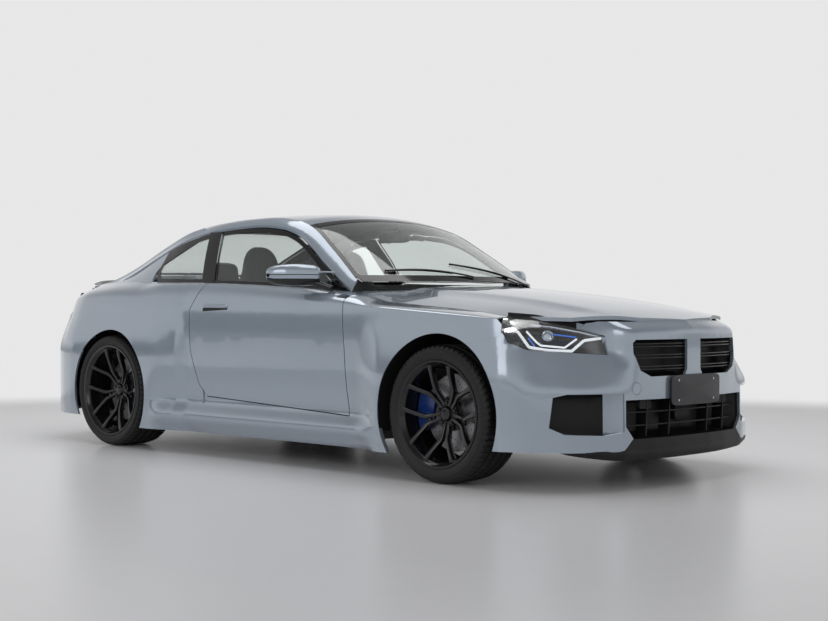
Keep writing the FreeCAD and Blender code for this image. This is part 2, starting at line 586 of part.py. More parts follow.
# Knuckles, calipers and hub carriers; y positions are measured from the wheel's centre plane
def hub_parts(axle, side):
    cx, cy, cz = size(axle + "_axle_x"), size(axle + "_half_track"), size(axle + "_tyre_radius")
    pin_y = size("kingpin_y")
    hub = disc_y(62, cx, cz, cy - 84, cy - 46).fuse(disc_y(30, cx, cz, cy - 60, cy + 21))
    hub = hub.fuse(box(cx - 26, cx + 26, pin_y - 18, cy - 50, cz - 121, cz + 121))
    return hub


def caliper(axle, turn):
    """A caliper over the disc's rim: a ring sector with a slot for the disc."""
    cx, cy, cz = size(axle + "_axle_x"), size(axle + "_half_track"), size(axle + "_tyre_radius")
    ring = disc_y(224 if axle == "front" else 222, cx, cz, cy - 74, cy + 24)
    ring = ring.cut(disc_y(118, cx, cz, cy - 80, cy + 40)).cut(disc_y(197, cx, cz, cy - 46, cy - 2))
    reach = 400
    wedge = Part.Face(Part.makePolygon([Vector(cx, 0, cz)] + [
        Vector(cx + reach * math.cos(math.radians(a)), 0, cz + reach * math.sin(math.radians(a)))
        for a in (turn - 27, turn + 27)] + [Vector(cx, 0, cz)])).extrude(Vector(0, 1200, 0))
    body = ring.common(wedge)
    bracket = box(-150, -50, cy - 84, cy - 74, -22, 22)
    bracket.rotate(Vector(0, 0, 0), Vector(0, 1, 0), 180 - turn if False else -(turn - 180))
    bracket.translate(Vector(cx, 0, cz))
    return largest(body), bracket


FRONT_CALIPER_TURN, REAR_CALIPER_TURN = 180, 0
caliper_shape, bracket = caliper("front", FRONT_CALIPER_TURN)
add_pair("front_caliper", caliper_shape)
add_pair("knuckle", hub_parts("front", 1).fuse(bracket).removeSplitter())

front_x, front_z = size("front_axle_x"), size("front_tyre_radius")
pin_y = size("kingpin_y")
rear_x, rear_z, rear_y = size("rear_axle_x"), size("rear_tyre_radius"), size("rear_half_track")

# Underbody: floor, tunnel, sills, firewall and rails in one welded shell
bound_floor = [
    bound_box("floor_sheet", "Sizes.wide_floor_end", "-Sizes.sill_inner_y", "Sizes.floor_z",
              "Sizes.firewall_x - Sizes.wide_floor_end", "2 * Sizes.sill_inner_y", "Sizes.floor_thickness"),
    bound_box("tunnel", "Sizes.rear_bulkhead_x", "-130", "Sizes.floor_z + Sizes.floor_thickness",
              "Sizes.firewall_x - Sizes.rear_bulkhead_x", "260", "150"),
    bound_box("seat_step", "Sizes.rear_bulkhead_x", "-560", "Sizes.floor_z", "410", "1120", "172"),
    bound_box("sill_left", "-860", "Sizes.sill_inner_y", "Sizes.floor_z", "1860",
              "Sizes.sill_half_width - Sizes.sill_inner_y", "94"),
    bound_box("sill_right", "-860", "-Sizes.sill_half_width", "Sizes.floor_z", "1860",
              "Sizes.sill_half_width - Sizes.sill_inner_y", "94"),
    bound_box("firewall", "Sizes.firewall_x", "-640", "Sizes.floor_z", "18", "1280", "620"),
    bound_box("rear_bulkhead", "Sizes.rear_bulkhead_x - 18", "-600", "Sizes.floor_z", "18", "1200", "560"),
    bound_box("boot_floor", "-2150", "-560", "Sizes.boot_floor_z", "Sizes.rear_bulkhead_x + 2150 - 10", "1120", "20"),
    bound_box("rail_left", "Sizes.firewall_x", "395", "440", "2060 - Sizes.firewall_x", "70", "90"),
    bound_box("rail_right", "Sizes.firewall_x", "-465", "440", "2060 - Sizes.firewall_x", "70", "90"),
    bound_box("bumper_beam", "2060", "-560", "440", "50", "1120", "90"),
    bound_box("pillar_post_left", "Sizes.door_hinge_x + 140", "640", "Sizes.floor_z", "200", "90", "640"),
    bound_box("pillar_post_right", "Sizes.door_hinge_x + 140", "-730", "Sizes.floor_z", "200", "90", "640"),
    bound_box("tower_left", "Sizes.front_axle_x - 70", "465", "690.3", "140", "130", "16"),
    bound_box("tower_right", "Sizes.front_axle_x - 70", "-595", "690.3", "140", "130", "16"),
    bound_box("tower_leg_left", "Sizes.front_axle_x - 70", "455", "500", "140", "10", "206.3"),
    bound_box("tower_leg_right", "Sizes.front_axle_x - 70", "-465", "500", "140", "10", "206.3"),
]
fused("underbody", bound_floor)

engine = bound_box("engine_block", "1180", "-250", "300 + Sizes.seat_gap", "600", "500", "500")
named("engine_block", engine)
radiator = bound_box("radiator", "2060 - 48 - Sizes.seat_gap", "-390", "230", "48", "780", "410")
named("radiator", radiator)

# Front suspension: subframe, arms with ball ends under and over the knuckles, and struts
arms = [box(front_x - 60, front_x + 60, -380, 380, 225, 262), box(front_x - 30, front_x + 30, 350, 380, 262, 300),
        box(front_x - 30, front_x + 30, -380, -350, 262, 300),
        box(front_x - 30, front_x + 30, 190, 240, 262, 300), box(front_x - 30, front_x + 30, -240, -190, 262, 300)]
for s in (1, -1):
    low_z, high_z = front_z - 121 - size("seat_gap"), front_z + 121 + size("seat_gap")
    arms.append(Part.makeCylinder(24, 28, Vector(front_x, s * pin_y, low_z - 28)))
    arms.append(Part.makeCylinder(24, 26, Vector(front_x, s * pin_y, high_z)))
    arms.append(bar((front_x, s * pin_y, low_z - 19), (front_x - 20, s * 350, 243), 13))
    arms.append(bar((front_x, s * pin_y, high_z + 13), (front_x, s * 467, 485), 11))
    arms.append(bar((front_x, s * 545, 224), (front_x, s * 545, 690), 30))
suspension = arms[0]
for arm in arms[1:]:
    suspension = suspension.fuse(arm)
print("front suspension solids", len(suspension.Solids))
add("front_suspension", suspension)

# Rear suspension: carriers, links, driveshafts and the final drive
links = [box(rear_x - 150, rear_x + 150, -150, 150, 240, 420), box(rear_x - 60, rear_x + 60, -420, 420, 240, 275)]
rear_caliper, rear_bracket = caliper("rear", REAR_CALIPER_TURN)
for s in (1, -1):
    shape = [disc_y(60, rear_x, rear_z, rear_y - 84, rear_y - 46), disc_y(30, rear_x, rear_z, rear_y - 60, rear_y + 21),
             box(rear_x - 26, rear_x + 26, rear_y - 84, rear_y - 50, rear_z - 121, rear_z + 121),
             bar((rear_x, rear_y - 70, rear_z - 100), (rear_x, 380, 258), 14), rear_bracket,
             bar((rear_x, rear_y - 70, rear_z), (rear_x, 140, 340), 16),
             bar((rear_x, rear_y - 70, rear_z + 100), (rear_x + 30, 400, 262), 12),
             bar((rear_x - 70, 480, 250), (rear_x - 70, 480, size("boot_floor_z") - fit), 34), bar((rear_x - 70, 480, 258), (rear_x, 380, 258), 16)]
    for item in shape:
        links.append(item if s > 0 else mirrored(item))
rear_suspension = links[0]
for link in links[1:]:
    rear_suspension = rear_suspension.fuse(link)
print("rear suspension solids", len(rear_suspension.Solids))
add("rear_suspension", rear_suspension)
add_pair("rear_caliper", rear_caliper)

# Arch liners
skin_room = side_face.translated(Vector(0, -size("skin") - fit, -size("skin") * 0.8)).extrude(Vector(0, 200, 0))


def liner(x, z, radius, y0, y1, low):
    shell = disc_y(radius + size("liner_wall"), x, z, y0, y1).cut(disc_y(radius, x, z, y0 - 1, y1 + 1))
    shell = shell.cut(box(x - 600, x + 600, y0 - 2, y1 + 2, 0, low))
    return shell


front_liner = largest(liner(front_x, front_z, 403, 480, 960, 235).cut(skin_room).cut(skirt)
                      .cut(box(1560, 2000, 890, 1000, 0, 1000)))
rear_liner = largest(liner(rear_x, rear_z, 382, 600.3, 960, 235).cut(skin_room).cut(skirt)
                     .cut(box(-2000, -1500, 880, 1000, 0, 1000)))
add("front_liners", Part.makeCompound([front_liner, mirrored(front_liner)]))
add("rear_liners", Part.makeCompound([rear_liner, mirrored(rear_liner)]))

# Interior
def slab_along_y(points, half, centre=0):
    return polygon(points, "Y", centre - half, centre + half)


dash = slab_along_y([(445, 640), (445, 790), (505, 850), (640, 870), (780, 860), (780, 640), (700, 600), (520, 600)], 640)
dash = dash.fuse(box(700, 789.7, 600, 700, 660, 820)).fuse(box(700, 789.7, -700, -600, 660, 820))
seat_y, seat_half = size("seat_y"), size("seat_width") / 2
cushion = [(-360, 260), (150, 250), (170, 300), (140, 395), (60, 410), (-300, 370), (-360, 340)]
back = [(-390, 290), (-270, 340), (-330, 600), (-470, 1010), (-500, 1110), (-560, 1120), (-600, 1080), (-520, 700), (-440, 300)]
for name, s in (("left", 1), ("right", -1)):
    seat = slab_along_y(cushion, seat_half, s * seat_y).fuse(slab_along_y(back, seat_half - 20, s * seat_y))
    seat = seat.fuse(box(-300, 60, s * seat_y - 180, s * seat_y + 180, size("floor_z") + size("floor_thickness"), 300))
    add("seat_" + name, seat.removeSplitter())
bench = [(-1000, 380), (-560, 380), (-560, 470), (-640, 520), (-930, 490), (-985, 560), (-1080, 900), (-1180, 900), (-1090, 640),
         (-1050, 500), (-1000, 420)]
add("rear_seat", slab_along_y([(-1009, 357.3), (-605, 357.3), (-570, 440), (-600, 480), (-880, 460), (-960, 620), (-1009, 840)], 560))

# Steering wheel on its column
tilt = 24
wheel_x, wheel_z = size("steering_wheel_x"), size("steering_wheel_z")
ring = Part.makeTorus(size("steering_wheel_radius") - 15, 15)
boss = Part.makeCylinder(62, 40, Vector(0, 0, -40)).fuse([box(-172, 172, -16, 16, -26, -8), box(-16, 16, -172, 0, -26, -8)])
steering = ring.fuse(boss).fuse(Part.makeCylinder(24, 90, Vector(0, 0, -112)))
turn = FreeCAD.Rotation(Vector(0, 1, 0), -(90 - tilt)) * FreeCAD.Rotation(Vector(0, 0, 1), 90)
print("steering solids", len(steering.Solids))
add("steering_wheel", steering, FreeCAD.Placement(Vector(wheel_x, seat_y, wheel_z), turn))

column = FreeCAD.Vector(-math.cos(math.radians(tilt)), 0, math.sin(math.radians(tilt)))
wheel_at = Vector(wheel_x, seat_y, wheel_z)
dash = dash.cut(Part.makeCylinder(38, 125, wheel_at - column * 125, column))
dash = dash.fuse(Part.makeCylinder(34, 90, wheel_at - column * (112 + 90 + fit), column))
print("dash solids", len(dash.Solids))
add("dashboard", dash)

# Door mirrors on the door shoulders
mirror_head = Part.makeLoft([Part.Wire(Part.makeCircle(10, Vector(0, 0, 0)).Edges)], False) if False else None
head = box(470, 640, 905, 1075, 960, 1065)
head = head.makeFillet(30, head.Edges)
stalk = box(560, 640, 800, 930, 900, 965)
mirror = head.fuse(stalk)
door_top = polygon([(500, 930), (700, 930), (700, 1000), (500, 1000)], "Y", 700, 1000)
mirror = largest(mirror.cut(door_block).cut(box(0, 1000, 0, 820, 0, 2000)))
add_pair("door_mirror", mirror)

doc.recompute()
os.makedirs("parts", exist_ok=True)
for item in doc.Objects:
    if "Invalid" in item.State or "Error" in item.State:
        raise RuntimeError("%s failed: %s" % (item.Label, item.State))
for node, feature in parts.items():
    shape = feature.Shape
    print(node, shape.isValid(), len(shape.Solids), [round(v) for v in (shape.BoundBox.XMin, shape.BoundBox.XMax,
          shape.BoundBox.YMin, shape.BoundBox.YMax, shape.BoundBox.ZMin, shape.BoundBox.ZMax)])
    shape.exportStep("parts/%s.step" % node)
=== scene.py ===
import math
import bpy
import numpy as np
from mathutils import Matrix, Vector


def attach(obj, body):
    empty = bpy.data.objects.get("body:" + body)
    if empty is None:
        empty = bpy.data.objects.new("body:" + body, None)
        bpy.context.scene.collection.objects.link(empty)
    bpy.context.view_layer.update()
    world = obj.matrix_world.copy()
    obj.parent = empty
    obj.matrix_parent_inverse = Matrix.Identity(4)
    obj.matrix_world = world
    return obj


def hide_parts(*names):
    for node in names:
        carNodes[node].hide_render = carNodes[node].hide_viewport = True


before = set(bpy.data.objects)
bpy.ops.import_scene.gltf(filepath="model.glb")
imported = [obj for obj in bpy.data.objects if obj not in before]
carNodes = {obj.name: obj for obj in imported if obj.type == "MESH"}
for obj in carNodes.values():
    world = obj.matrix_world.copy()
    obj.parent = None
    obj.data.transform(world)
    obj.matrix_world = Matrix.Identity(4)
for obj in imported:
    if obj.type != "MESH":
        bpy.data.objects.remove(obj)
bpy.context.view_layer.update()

# Sizes are in millimetres in this script, and addPiece brings them to metres
print("frame loaded:", len(carNodes), "nodes")


# Numbers along lines: the same rules as the part's own master lines

def ease(start, end, x):
    t = np.clip((np.asarray(x, float) - start) / (end - start), 0, 1)  # smooth step, 3t^2 - 2t^3
    return t * t * (3 - 2 * t)


def lineAt(points, x):
    # Monotone cubic through (position, value) points; slopes are weighted harmonic means of the secants
    p = np.array(sorted(points), float)
    px, py = p[:, 0], p[:, 1]
    width = np.diff(px)
    secant = np.diff(py) / width
    before, after, wide, narrow = secant[:-1], secant[1:], width[1:], width[:-1]
    bends = before * after > 0
    with np.errstate(divide="ignore", invalid="ignore"):
        mean = 3 * (wide + narrow) / ((2 * narrow + wide) / before + (narrow + 2 * wide) / after)
    slope = np.concatenate([secant[:1], np.where(bends, mean, 0), secant[-1:]])
    x = np.asarray(x, float)
    i = np.clip(np.searchsorted(px, x) - 1, 0, len(width) - 1)
    t = np.clip((x - px[i]) / width[i], 0, 1)
    value = ((1 + 2 * t) * (1 - t) ** 2 * py[i] + t * (1 - t) ** 2 * width[i] * slope[i]
             + t * t * (3 - 2 * t) * py[i + 1] + t * t * (t - 1) * width[i] * slope[i + 1])
    return value + secant[0] * np.minimum(x - px[0], 0) + secant[-1] * np.maximum(x - px[-1], 0)


def straight(points, x):
    return np.interp(x, *zip(*points))


def resampled(path, count, smooth=False):
    # Points evenly spaced by length; between corners each coordinate is straight, or a monotone cubic
    path = np.asarray(path, float)
    length = np.concatenate([[0], np.cumsum(np.linalg.norm(np.diff(path, axis=0), axis=1))])
    along = np.linspace(0, length[-1], count)
    rule = lineAt if smooth else straight
    return np.stack([rule(list(zip(length, column)), along) for column in path.T], -1)


def unit(v):
    return v / np.maximum(np.linalg.norm(v, axis=-1, keepdims=True), 1e-9)


def at(x, y, z):
    # Points from three coordinates, each brought to the shape they share
    return np.stack(np.broadcast_arrays(x, y, z), -1)


def grid(first, second):
    # Two even ranges (start, end, count) as a rectangle of values
    return np.meshgrid(np.linspace(*first), np.linspace(*second), indexing="ij")


def circle(count):
    return np.linspace(0, 2 * math.pi, count, endpoint=False)


def surfaceX(levels, widths, rows, y, z):
    # Columns follow their own lines over the height, and values between columns are linear
    y, z = np.broadcast_arrays(np.abs(np.asarray(y, float)), np.asarray(z, float))
    columns = np.stack([lineAt(list(zip(levels, column)), z) for column in zip(*rows)])
    widths = np.array(widths, float)
    i = np.clip(np.searchsorted(widths, y) - 1, 0, len(widths) - 2)
    near, far = (np.take_along_axis(columns, (i + k)[None], 0)[0] for k in (0, 1))
    return near + (far - near) * (y - widths[i]) / (widths[i + 1] - widths[i])


# Meshes: grids of points become faces as whole arrays

def gridFaces(rows, columns, loopRows, loopColumns):
    # Face (i, j) joins points (i, j), (i+1, j), (i+1, j+1) and (i, j+1)
    i, j = np.meshgrid(np.arange(rows if loopRows else rows - 1),
                       np.arange(columns if loopColumns else columns - 1), indexing="ij")
    i2, j2 = (i + 1) % rows, (j + 1) % columns
    corners = [i * columns + j, i2 * columns + j, i2 * columns + j2, i * columns + j2]
    return np.stack(corners, -1).reshape(-1, 4)


def volumeOf(verts, quads):
    a, b, c, d = (verts[quads[:, k]] for k in range(4))
    return np.sum(a * np.cross(b, c)) + np.sum(a * np.cross(c, d))


def tube(points, ends="cap"):
    # Rings of points along a path: closed round each ring; the ends are capped, or joined in a loop
    points = np.asarray(points, float)
    rows, columns = points.shape[:2]
    verts = points.reshape(-1, 3)
    quads = gridFaces(rows, columns, ends == "loop", True)
    fans = np.zeros((0, 3), int)
    if ends == "cap":
        j = np.arange(columns)
        k = (j + 1) % columns
        last = (rows - 1) * columns
        low, high = np.full(columns, len(verts)), np.full(columns, len(verts) + 1)
        fans = np.concatenate([np.stack([low, j, k], -1), np.stack([high, last + k, last + j], -1)])
        verts = np.concatenate([verts, np.stack([points[0].mean(0), points[-1].mean(0)])])
    if volumeOf(verts - verts.mean(0), np.concatenate([quads, fans[:, [0, 1, 2, 2]]])) < 0:
        quads, fans = quads[:, ::-1], fans[:, ::-1]
    return verts, quads, fans


def slab(outer, depth):
    # A sheet with thickness: the outer grid, the same grid moved by depth, and a rim between them
    outer = np.asarray(outer, float)
    rows, columns = outer.shape[:2]
    edge = np.concatenate([np.arange(columns), columns - 1 + columns * np.arange(1, rows),
                           (rows - 1) * columns + np.arange(columns - 2, -1, -1),
                           columns * np.arange(rows - 2, 0, -1)])
    following = np.roll(edge, -1)
    count = rows * columns
    front = gridFaces(rows, columns, False, False)
    rim = np.stack([edge, following, following + count, edge + count], -1)
    quads = np.concatenate([front[:, ::-1], front + count, rim])
    verts = np.concatenate([outer.reshape(-1, 3), (outer + depth).reshape(-1, 3)])
    if volumeOf(verts - verts.mean(0), quads) < 0:
        quads = quads[:, ::-1]
    return verts, quads, np.zeros((0, 3), int)


def mirroredForms(forms):
    # The same forms on the other side of the centre plane, turned right side out again
    return [(v * (1, -1, 1), q[:, ::-1], f[:, ::-1]) for v, q, f in forms]


def bothSides(forms):
    return forms + mirroredForms(forms)


def onSide(hand, forms):
    return forms if hand == "left" else mirroredForms(forms)


def addPiece(name, forms, material, body="root", replaces=(), sharp=35, levels=0):
    verts, faces, start = [], [], 0
    for points, quads, fans in forms:
        verts.append(points)
        faces += (quads + start).tolist() + (fans + start).tolist()
        start += len(points)
    mesh = bpy.data.meshes.new(name)
    mesh.from_pydata((np.concatenate(verts) * 0.001).tolist(), [], faces)
    mesh.polygons.foreach_set("use_smooth", np.ones(len(mesh.polygons), bool))
    mesh.set_sharp_from_angle(angle=math.radians(sharp))
    mesh.materials.append(materials[material])
    obj = bpy.data.objects.new(name, mesh)
    bpy.context.scene.collection.objects.link(obj)
    if levels:
        smooth = obj.modifiers.new("smooth", "SUBSURF")
        smooth.levels = smooth.render_levels = levels
    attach(obj, body)
    if replaces:
        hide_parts(*replaces)
    return obj


def alongPath(path, normals, section, loop=False):
    # Section points (across, up) are laid out at every path point: up is the normal, squared to the path
    path = np.asarray(path, float)
    steps = np.roll(path, -1, 0) - np.roll(path, 1, 0) if loop else np.gradient(path, axis=0)
    tangent = unit(steps)
    normals = np.broadcast_to(np.asarray(normals, float), path.shape)
    up = unit(normals - tangent * np.sum(normals * tangent, -1, keepdims=True))
    across = unit(np.cross(tangent, up))
    return path[:, None] + across[:, None] * section[None, :, :1] + up[:, None] * section[None, :, 1:]


def roundedBar(halfWidth, halfHeight, count=12, power=4.0):
    # A superellipse: |x/a|^n + |y/b|^n = 1
    c, s = np.cos(circle(count)), np.sin(circle(count))
    return np.stack([halfWidth * np.sign(c) * np.abs(c) ** (2 / power),
                     halfHeight * np.sign(s) * np.abs(s) ** (2 / power)], -1)


def rod(path, normals, halfWidth, halfHeight, count=12, power=4.0):
    return tube(alongPath(path, normals, roundedBar(halfWidth, halfHeight, count, power)))


def turned(radius, across, centre, side):
    # Radii (angle, across) turn about the wheel's own axis
    turn = circle(len(radius))[:, None]
    return tube(at(radius * np.cos(turn), side * across, radius * np.sin(turn)) + centre, "loop")


def revolved(profile, centre, side, count):
    radius, across = np.asarray(profile, float).T
    return turned(np.tile(radius, (count, 1)), across, centre, side)


# The camera stands where the photograph was taken from: fitted to the wheels, roof and nose
photoView = {"place": (6257, -6075, 863), "yaw": 133.999, "pitch": -0.194, "roll": 0.144,
             "lens": 63.53, "sensor": 36}


def makeCamera(view):
    yaw, pitch, roll = (math.radians(view[k]) for k in ("yaw", "pitch", "roll"))
    forward = Vector((math.cos(pitch) * math.cos(yaw), math.cos(pitch) * math.sin(yaw), math.sin(pitch)))
    right = Vector((math.sin(yaw), -math.cos(yaw), 0))
    up = right.cross(forward)
    right, up = (right * math.cos(roll) + up * math.sin(roll),
                 up * math.cos(roll) - right * math.sin(roll))
    camera = bpy.data.objects.new("camera", bpy.data.cameras.new("camera"))
    camera.data.lens = view["lens"]
    camera.data.sensor_width = view["sensor"]
    camera.matrix_world = Matrix.Translation(Vector(view["place"]) * 0.001) @ Matrix(
        (right, up, -forward)).transposed().to_4x4()
    bpy.context.scene.collection.objects.link(camera)
    bpy.context.scene.camera = camera


makeCamera(photoView)


# Shader nodes: inputs are given as values, or as the sockets that feed them

def feed(tree, node, inputs):
    for key, value in inputs.items():
        if isinstance(value, bpy.types.NodeSocket):
            tree.links.new(value, node.inputs[key])
        else:
            node.inputs[key].default_value = value
    return node


def addNode(tree, kind, inputs, **settings):
    node = tree.nodes.new("ShaderNode" + kind)
    for name, value in settings.items():
        setattr(node, name, value)
    return feed(tree, node, inputs)


def maths(tree, operation, *values):
    return addNode(tree, "Math", dict(enumerate(values)), operation=operation).outputs[0]


def mixColors(tree, share, first, second):
    return addNode(tree, "Mix", {0: share, 6: first, 7: second}, data_type="RGBA").outputs[2]


def ranged(tree, value, between, ends, kind="LINEAR"):
    # The value is brought from one range to another and held at its ends
    ranges = {"Value": value, "From Min": between[0], "From Max": between[1], "To Min": ends[0],
              "To Max": ends[1]}
    return addNode(tree, "MapRange", ranges, interpolation_type=kind).outputs[0]


def makeGroup(name, inputs, output):
    # A group that takes numbers and puts out one number
    group = bpy.data.node_groups.new(name, "ShaderNodeTree")
    for label, value in inputs.items():
        socket = group.interface.new_socket(name=label, in_out="INPUT", socket_type="NodeSocketFloat")
        socket.default_value = value
    group.interface.new_socket(name=output, in_out="OUTPUT", socket_type="NodeSocketFloat")
    return group, group.nodes.new("NodeGroupInput").outputs, group.nodes.new("NodeGroupOutput")


def makeGrainGroup():
    # Two sizes of noise on Object coordinates, mixed to one value round 0.5
    group, given, result = makeGroup("grainField", {"Scale": 200.0, "Coarse Share": 0.5}, "Value")
    place = addNode(group, "TexCoord", {}).outputs["Object"]
    sizes = (given["Scale"], maths(group, "MULTIPLY", given["Scale"], 0.12))
    fine, coarse = (addNode(group, "TexNoise", {"Vector": place, "Scale": size, "Detail": 3}).outputs["Fac"]
                    for size in sizes)
    mix = addNode(group, "Mix", {0: given["Coarse Share"], 2: fine, 3: coarse})
    feed(group, result, {"Value": mix.outputs[0]})
    return group


def makeRoadDustGroup():
    # A mask that is strongest near the ground and broken up by noise
    group, given, result = makeGroup("roadDust", {"Top": 0.45, "Amount": 0.3}, "Mask")
    place = addNode(group, "TexCoord", {}).outputs["Object"]
    noise = addNode(group, "TexNoise", {"Vector": place, "Scale": 14, "Detail": 5}).outputs["Fac"]
    rise = addNode(group, "SeparateXYZ", {0: place}).outputs["Z"]
    broken = maths(group, "MULTIPLY", ranged(group, rise, (0.1, given["Top"]), (1, 0)), noise)
    feed(group, result, {"Mask": maths(group, "MULTIPLY", broken, given["Amount"])})
    return group


grainField = makeGrainGroup()
roadDust = makeRoadDustGroup()
dustColor = (0.33, 0.30, 0.27, 1)
materials, materialSlots = {}, {}


def makeMaterial(name, slot, color, other, rough, grain, sockets, coarse=0.5, bump=0.0, depth=0.0002,
                 dust=0.0, dustTop=0.45):
    # Colour and roughness run between two values over the grain; dust lightens the parts near the ground
    material = bpy.data.materials.new(name)
    material.use_nodes = True
    tree = material.node_tree
    shader = tree.nodes["Principled BSDF"]
    field = addNode(tree, "Group", {"Scale": grain, "Coarse Share": coarse}, node_tree=grainField)
    value = field.outputs["Value"]
    tinted = mixColors(tree, value, (*color, 1), (*other, 1))
    if dust:
        mask = addNode(tree, "Group", {"Amount": dust, "Top": dustTop}, node_tree=roadDust)
        tinted = mixColors(tree, mask.outputs["Mask"], tinted, dustColor)
    finish = ranged(tree, value, (0.3, 0.7), rough)
    feed(tree, shader, {"Base Color": tinted, "Roughness": finish} | sockets)
    if bump:
        relief = addNode(tree, "Bump", {"Strength": bump, "Distance": depth, "Height": value})
        feed(tree, shader, {"Normal": relief.outputs["Normal"]})
    materials[name], materialSlots[name] = material, slot


makeMaterial("bluePaint", "paint", (0.335, 0.395, 0.465), (0.36, 0.415, 0.48), (0.14, 0.20), 5200,
             {"Metallic": 0.45, "Coat Weight": 1.0, "Coat Roughness": 0.015}, coarse=0.1, dust=0.03)
makeMaterial("pianoBlack", "plastic", (0.004, 0.004, 0.005), (0.008, 0.008, 0.009), (0.1, 0.18), 160,
             {"Coat Weight": 0.3, "Coat Roughness": 0.03, "Specular IOR Level": 0.35}, dust=0.02)
makeMaterial("satinBlack", "plastic", (0.006, 0.006, 0.007), (0.011, 0.011, 0.012), (0.36, 0.5), 700,
             {"Specular IOR Level": 0.3}, bump=0.3, dust=0.03)
makeMaterial("wheelBlack", "rim", (0.004, 0.004, 0.005), (0.008, 0.008, 0.009), (0.12, 0.2), 260,
             {"Coat Weight": 0.35, "Coat Roughness": 0.05, "Specular IOR Level": 0.35}, dust=0.02)
makeMaterial("tyreRubber", "tyre", (0.007, 0.007, 0.008), (0.013, 0.013, 0.014), (0.42, 0.6), 420,
             {"Specular IOR Level": 0.35}, bump=0.35, dust=0.05, dustTop=0.3)
makeMaterial("discSteel", "disc", (0.24, 0.24, 0.25), (0.34, 0.34, 0.35), (0.24, 0.36), 900,
             {"Metallic": 1.0, "Anisotropic": 0.4}, coarse=0.2, bump=0.15)
makeMaterial("caliperBlue", "caliper", (0.006, 0.03, 0.16), (0.009, 0.04, 0.2), (0.2, 0.3), 300,
             {"Coat Weight": 0.5})
makeMaterial("chassisSteel", "steel", (0.05, 0.05, 0.052), (0.09, 0.09, 0.092), (0.4, 0.6), 120,
             {"Metallic": 0.6}, bump=0.3, dust=0.5, dustTop=0.6)
makeMaterial("castAlloy", "alloy", (0.32, 0.32, 0.33), (0.42, 0.42, 0.43), (0.4, 0.55), 500,
             {"Metallic": 1.0}, bump=0.4)
makeMaterial("mouldedPlastic", "plastic", (0.008, 0.008, 0.009), (0.015, 0.015, 0.016), (0.5, 0.65), 800,
             {"Specular IOR Level": 0.3}, bump=0.5, dust=0.03)
makeMaterial("seatLeather", "leather", (0.008, 0.008, 0.009), (0.018, 0.018, 0.02), (0.38, 0.52), 900,
             {"Specular IOR Level": 0.35}, coarse=0.25, bump=0.6, depth=0.0004)
makeMaterial("plateGrey", "plastic", (0.028, 0.028, 0.032), (0.036, 0.036, 0.04), (0.3, 0.42), 300, {})
makeMaterial("mirrorSilver", "glass", (0.82, 0.83, 0.84), (0.86, 0.87, 0.88), (0.01, 0.02), 60,
             {"Metallic": 1.0})
# Near-black for painted shade inside the disc's holes and deep in the exhaust tips, and for the real seam
# round the tow cover
makeMaterial("shadeAndSeamBlack", "disc", (0.004, 0.004, 0.004), (0.008, 0.008, 0.008), (0.6, 0.8), 300, {})
makeMaterial("chromeSteel", "steel", (0.45, 0.45, 0.46), (0.52, 0.52, 0.53), (0.12, 0.2), 500,
             {"Metallic": 1.0})
makeMaterial("lampReflector", "lamp", (0.50, 0.54, 0.60), (0.60, 0.64, 0.70), (0.08, 0.16), 120,
             {"Metallic": 1.0})
makeMaterial("lampWhite", "lamp", (0.9, 0.93, 0.95), (0.97, 0.98, 1.0), (0.3, 0.4), 100,
             {"Emission Color": (0.92, 0.97, 1.0, 1), "Emission Strength": 0.55})
makeMaterial("lampBlue", "lamp", (0.03, 0.16, 0.7), (0.05, 0.22, 0.8), (0.15, 0.25), 100,
             {"Emission Color": (0.03, 0.15, 0.75, 1), "Emission Strength": 0.35})
makeMaterial("redMark", "leather", (0.5, 0.02, 0.02), (0.6, 0.03, 0.03), (0.4, 0.5), 300, {})
makeMaterial("tintedGlass", "glass", (0.88, 0.925, 0.91), (0.89, 0.935, 0.92), (0.0, 0.01), 3,
             {"IOR": 1.45, "Transmission Weight": 1.0})
makeMaterial("clearLens", "lamp", (0.93, 0.95, 0.97), (0.95, 0.97, 0.98), (0.0, 0.01), 3,
             {"IOR": 1.45, "Transmission Weight": 1.0})
makeMaterial("redLens", "tail_red", (0.35, 0.006, 0.006), (0.42, 0.009, 0.009), (0.04, 0.08), 40,
             {"IOR": 1.45, "Transmission Weight": 0.35, "Coat Weight": 0.5})

# The first word found in a node's name gives its material, and what is left is painted
nodeFinish = {"tyre": "tyreRubber", "rim": "wheelBlack", "brake_disc": "discSteel", "caliper": "caliperBlue",
              "knuckle": "castAlloy", "suspension": "chassisSteel", "liner": "mouldedPlastic",
              "windscreen": "tintedGlass", "rear_window": "tintedGlass", "glass": "tintedGlass",
              "headlamp": "clearLens", "tail_lamp": "redLens", "underbody": "chassisSteel",
              "engine": "castAlloy", "radiator": "mouldedPlastic", "dashboard": "mouldedPlastic",
              "seat": "seatLeather", "steering_wheel": "seatLeather"}
for nodeName, node in carNodes.items():
    finish = next((name for word, name in nodeFinish.items() if word in nodeName), "bluePaint")
    node.data.materials.clear()
    node.data.materials.append(materials[finish])
print("materials:", len(materials))


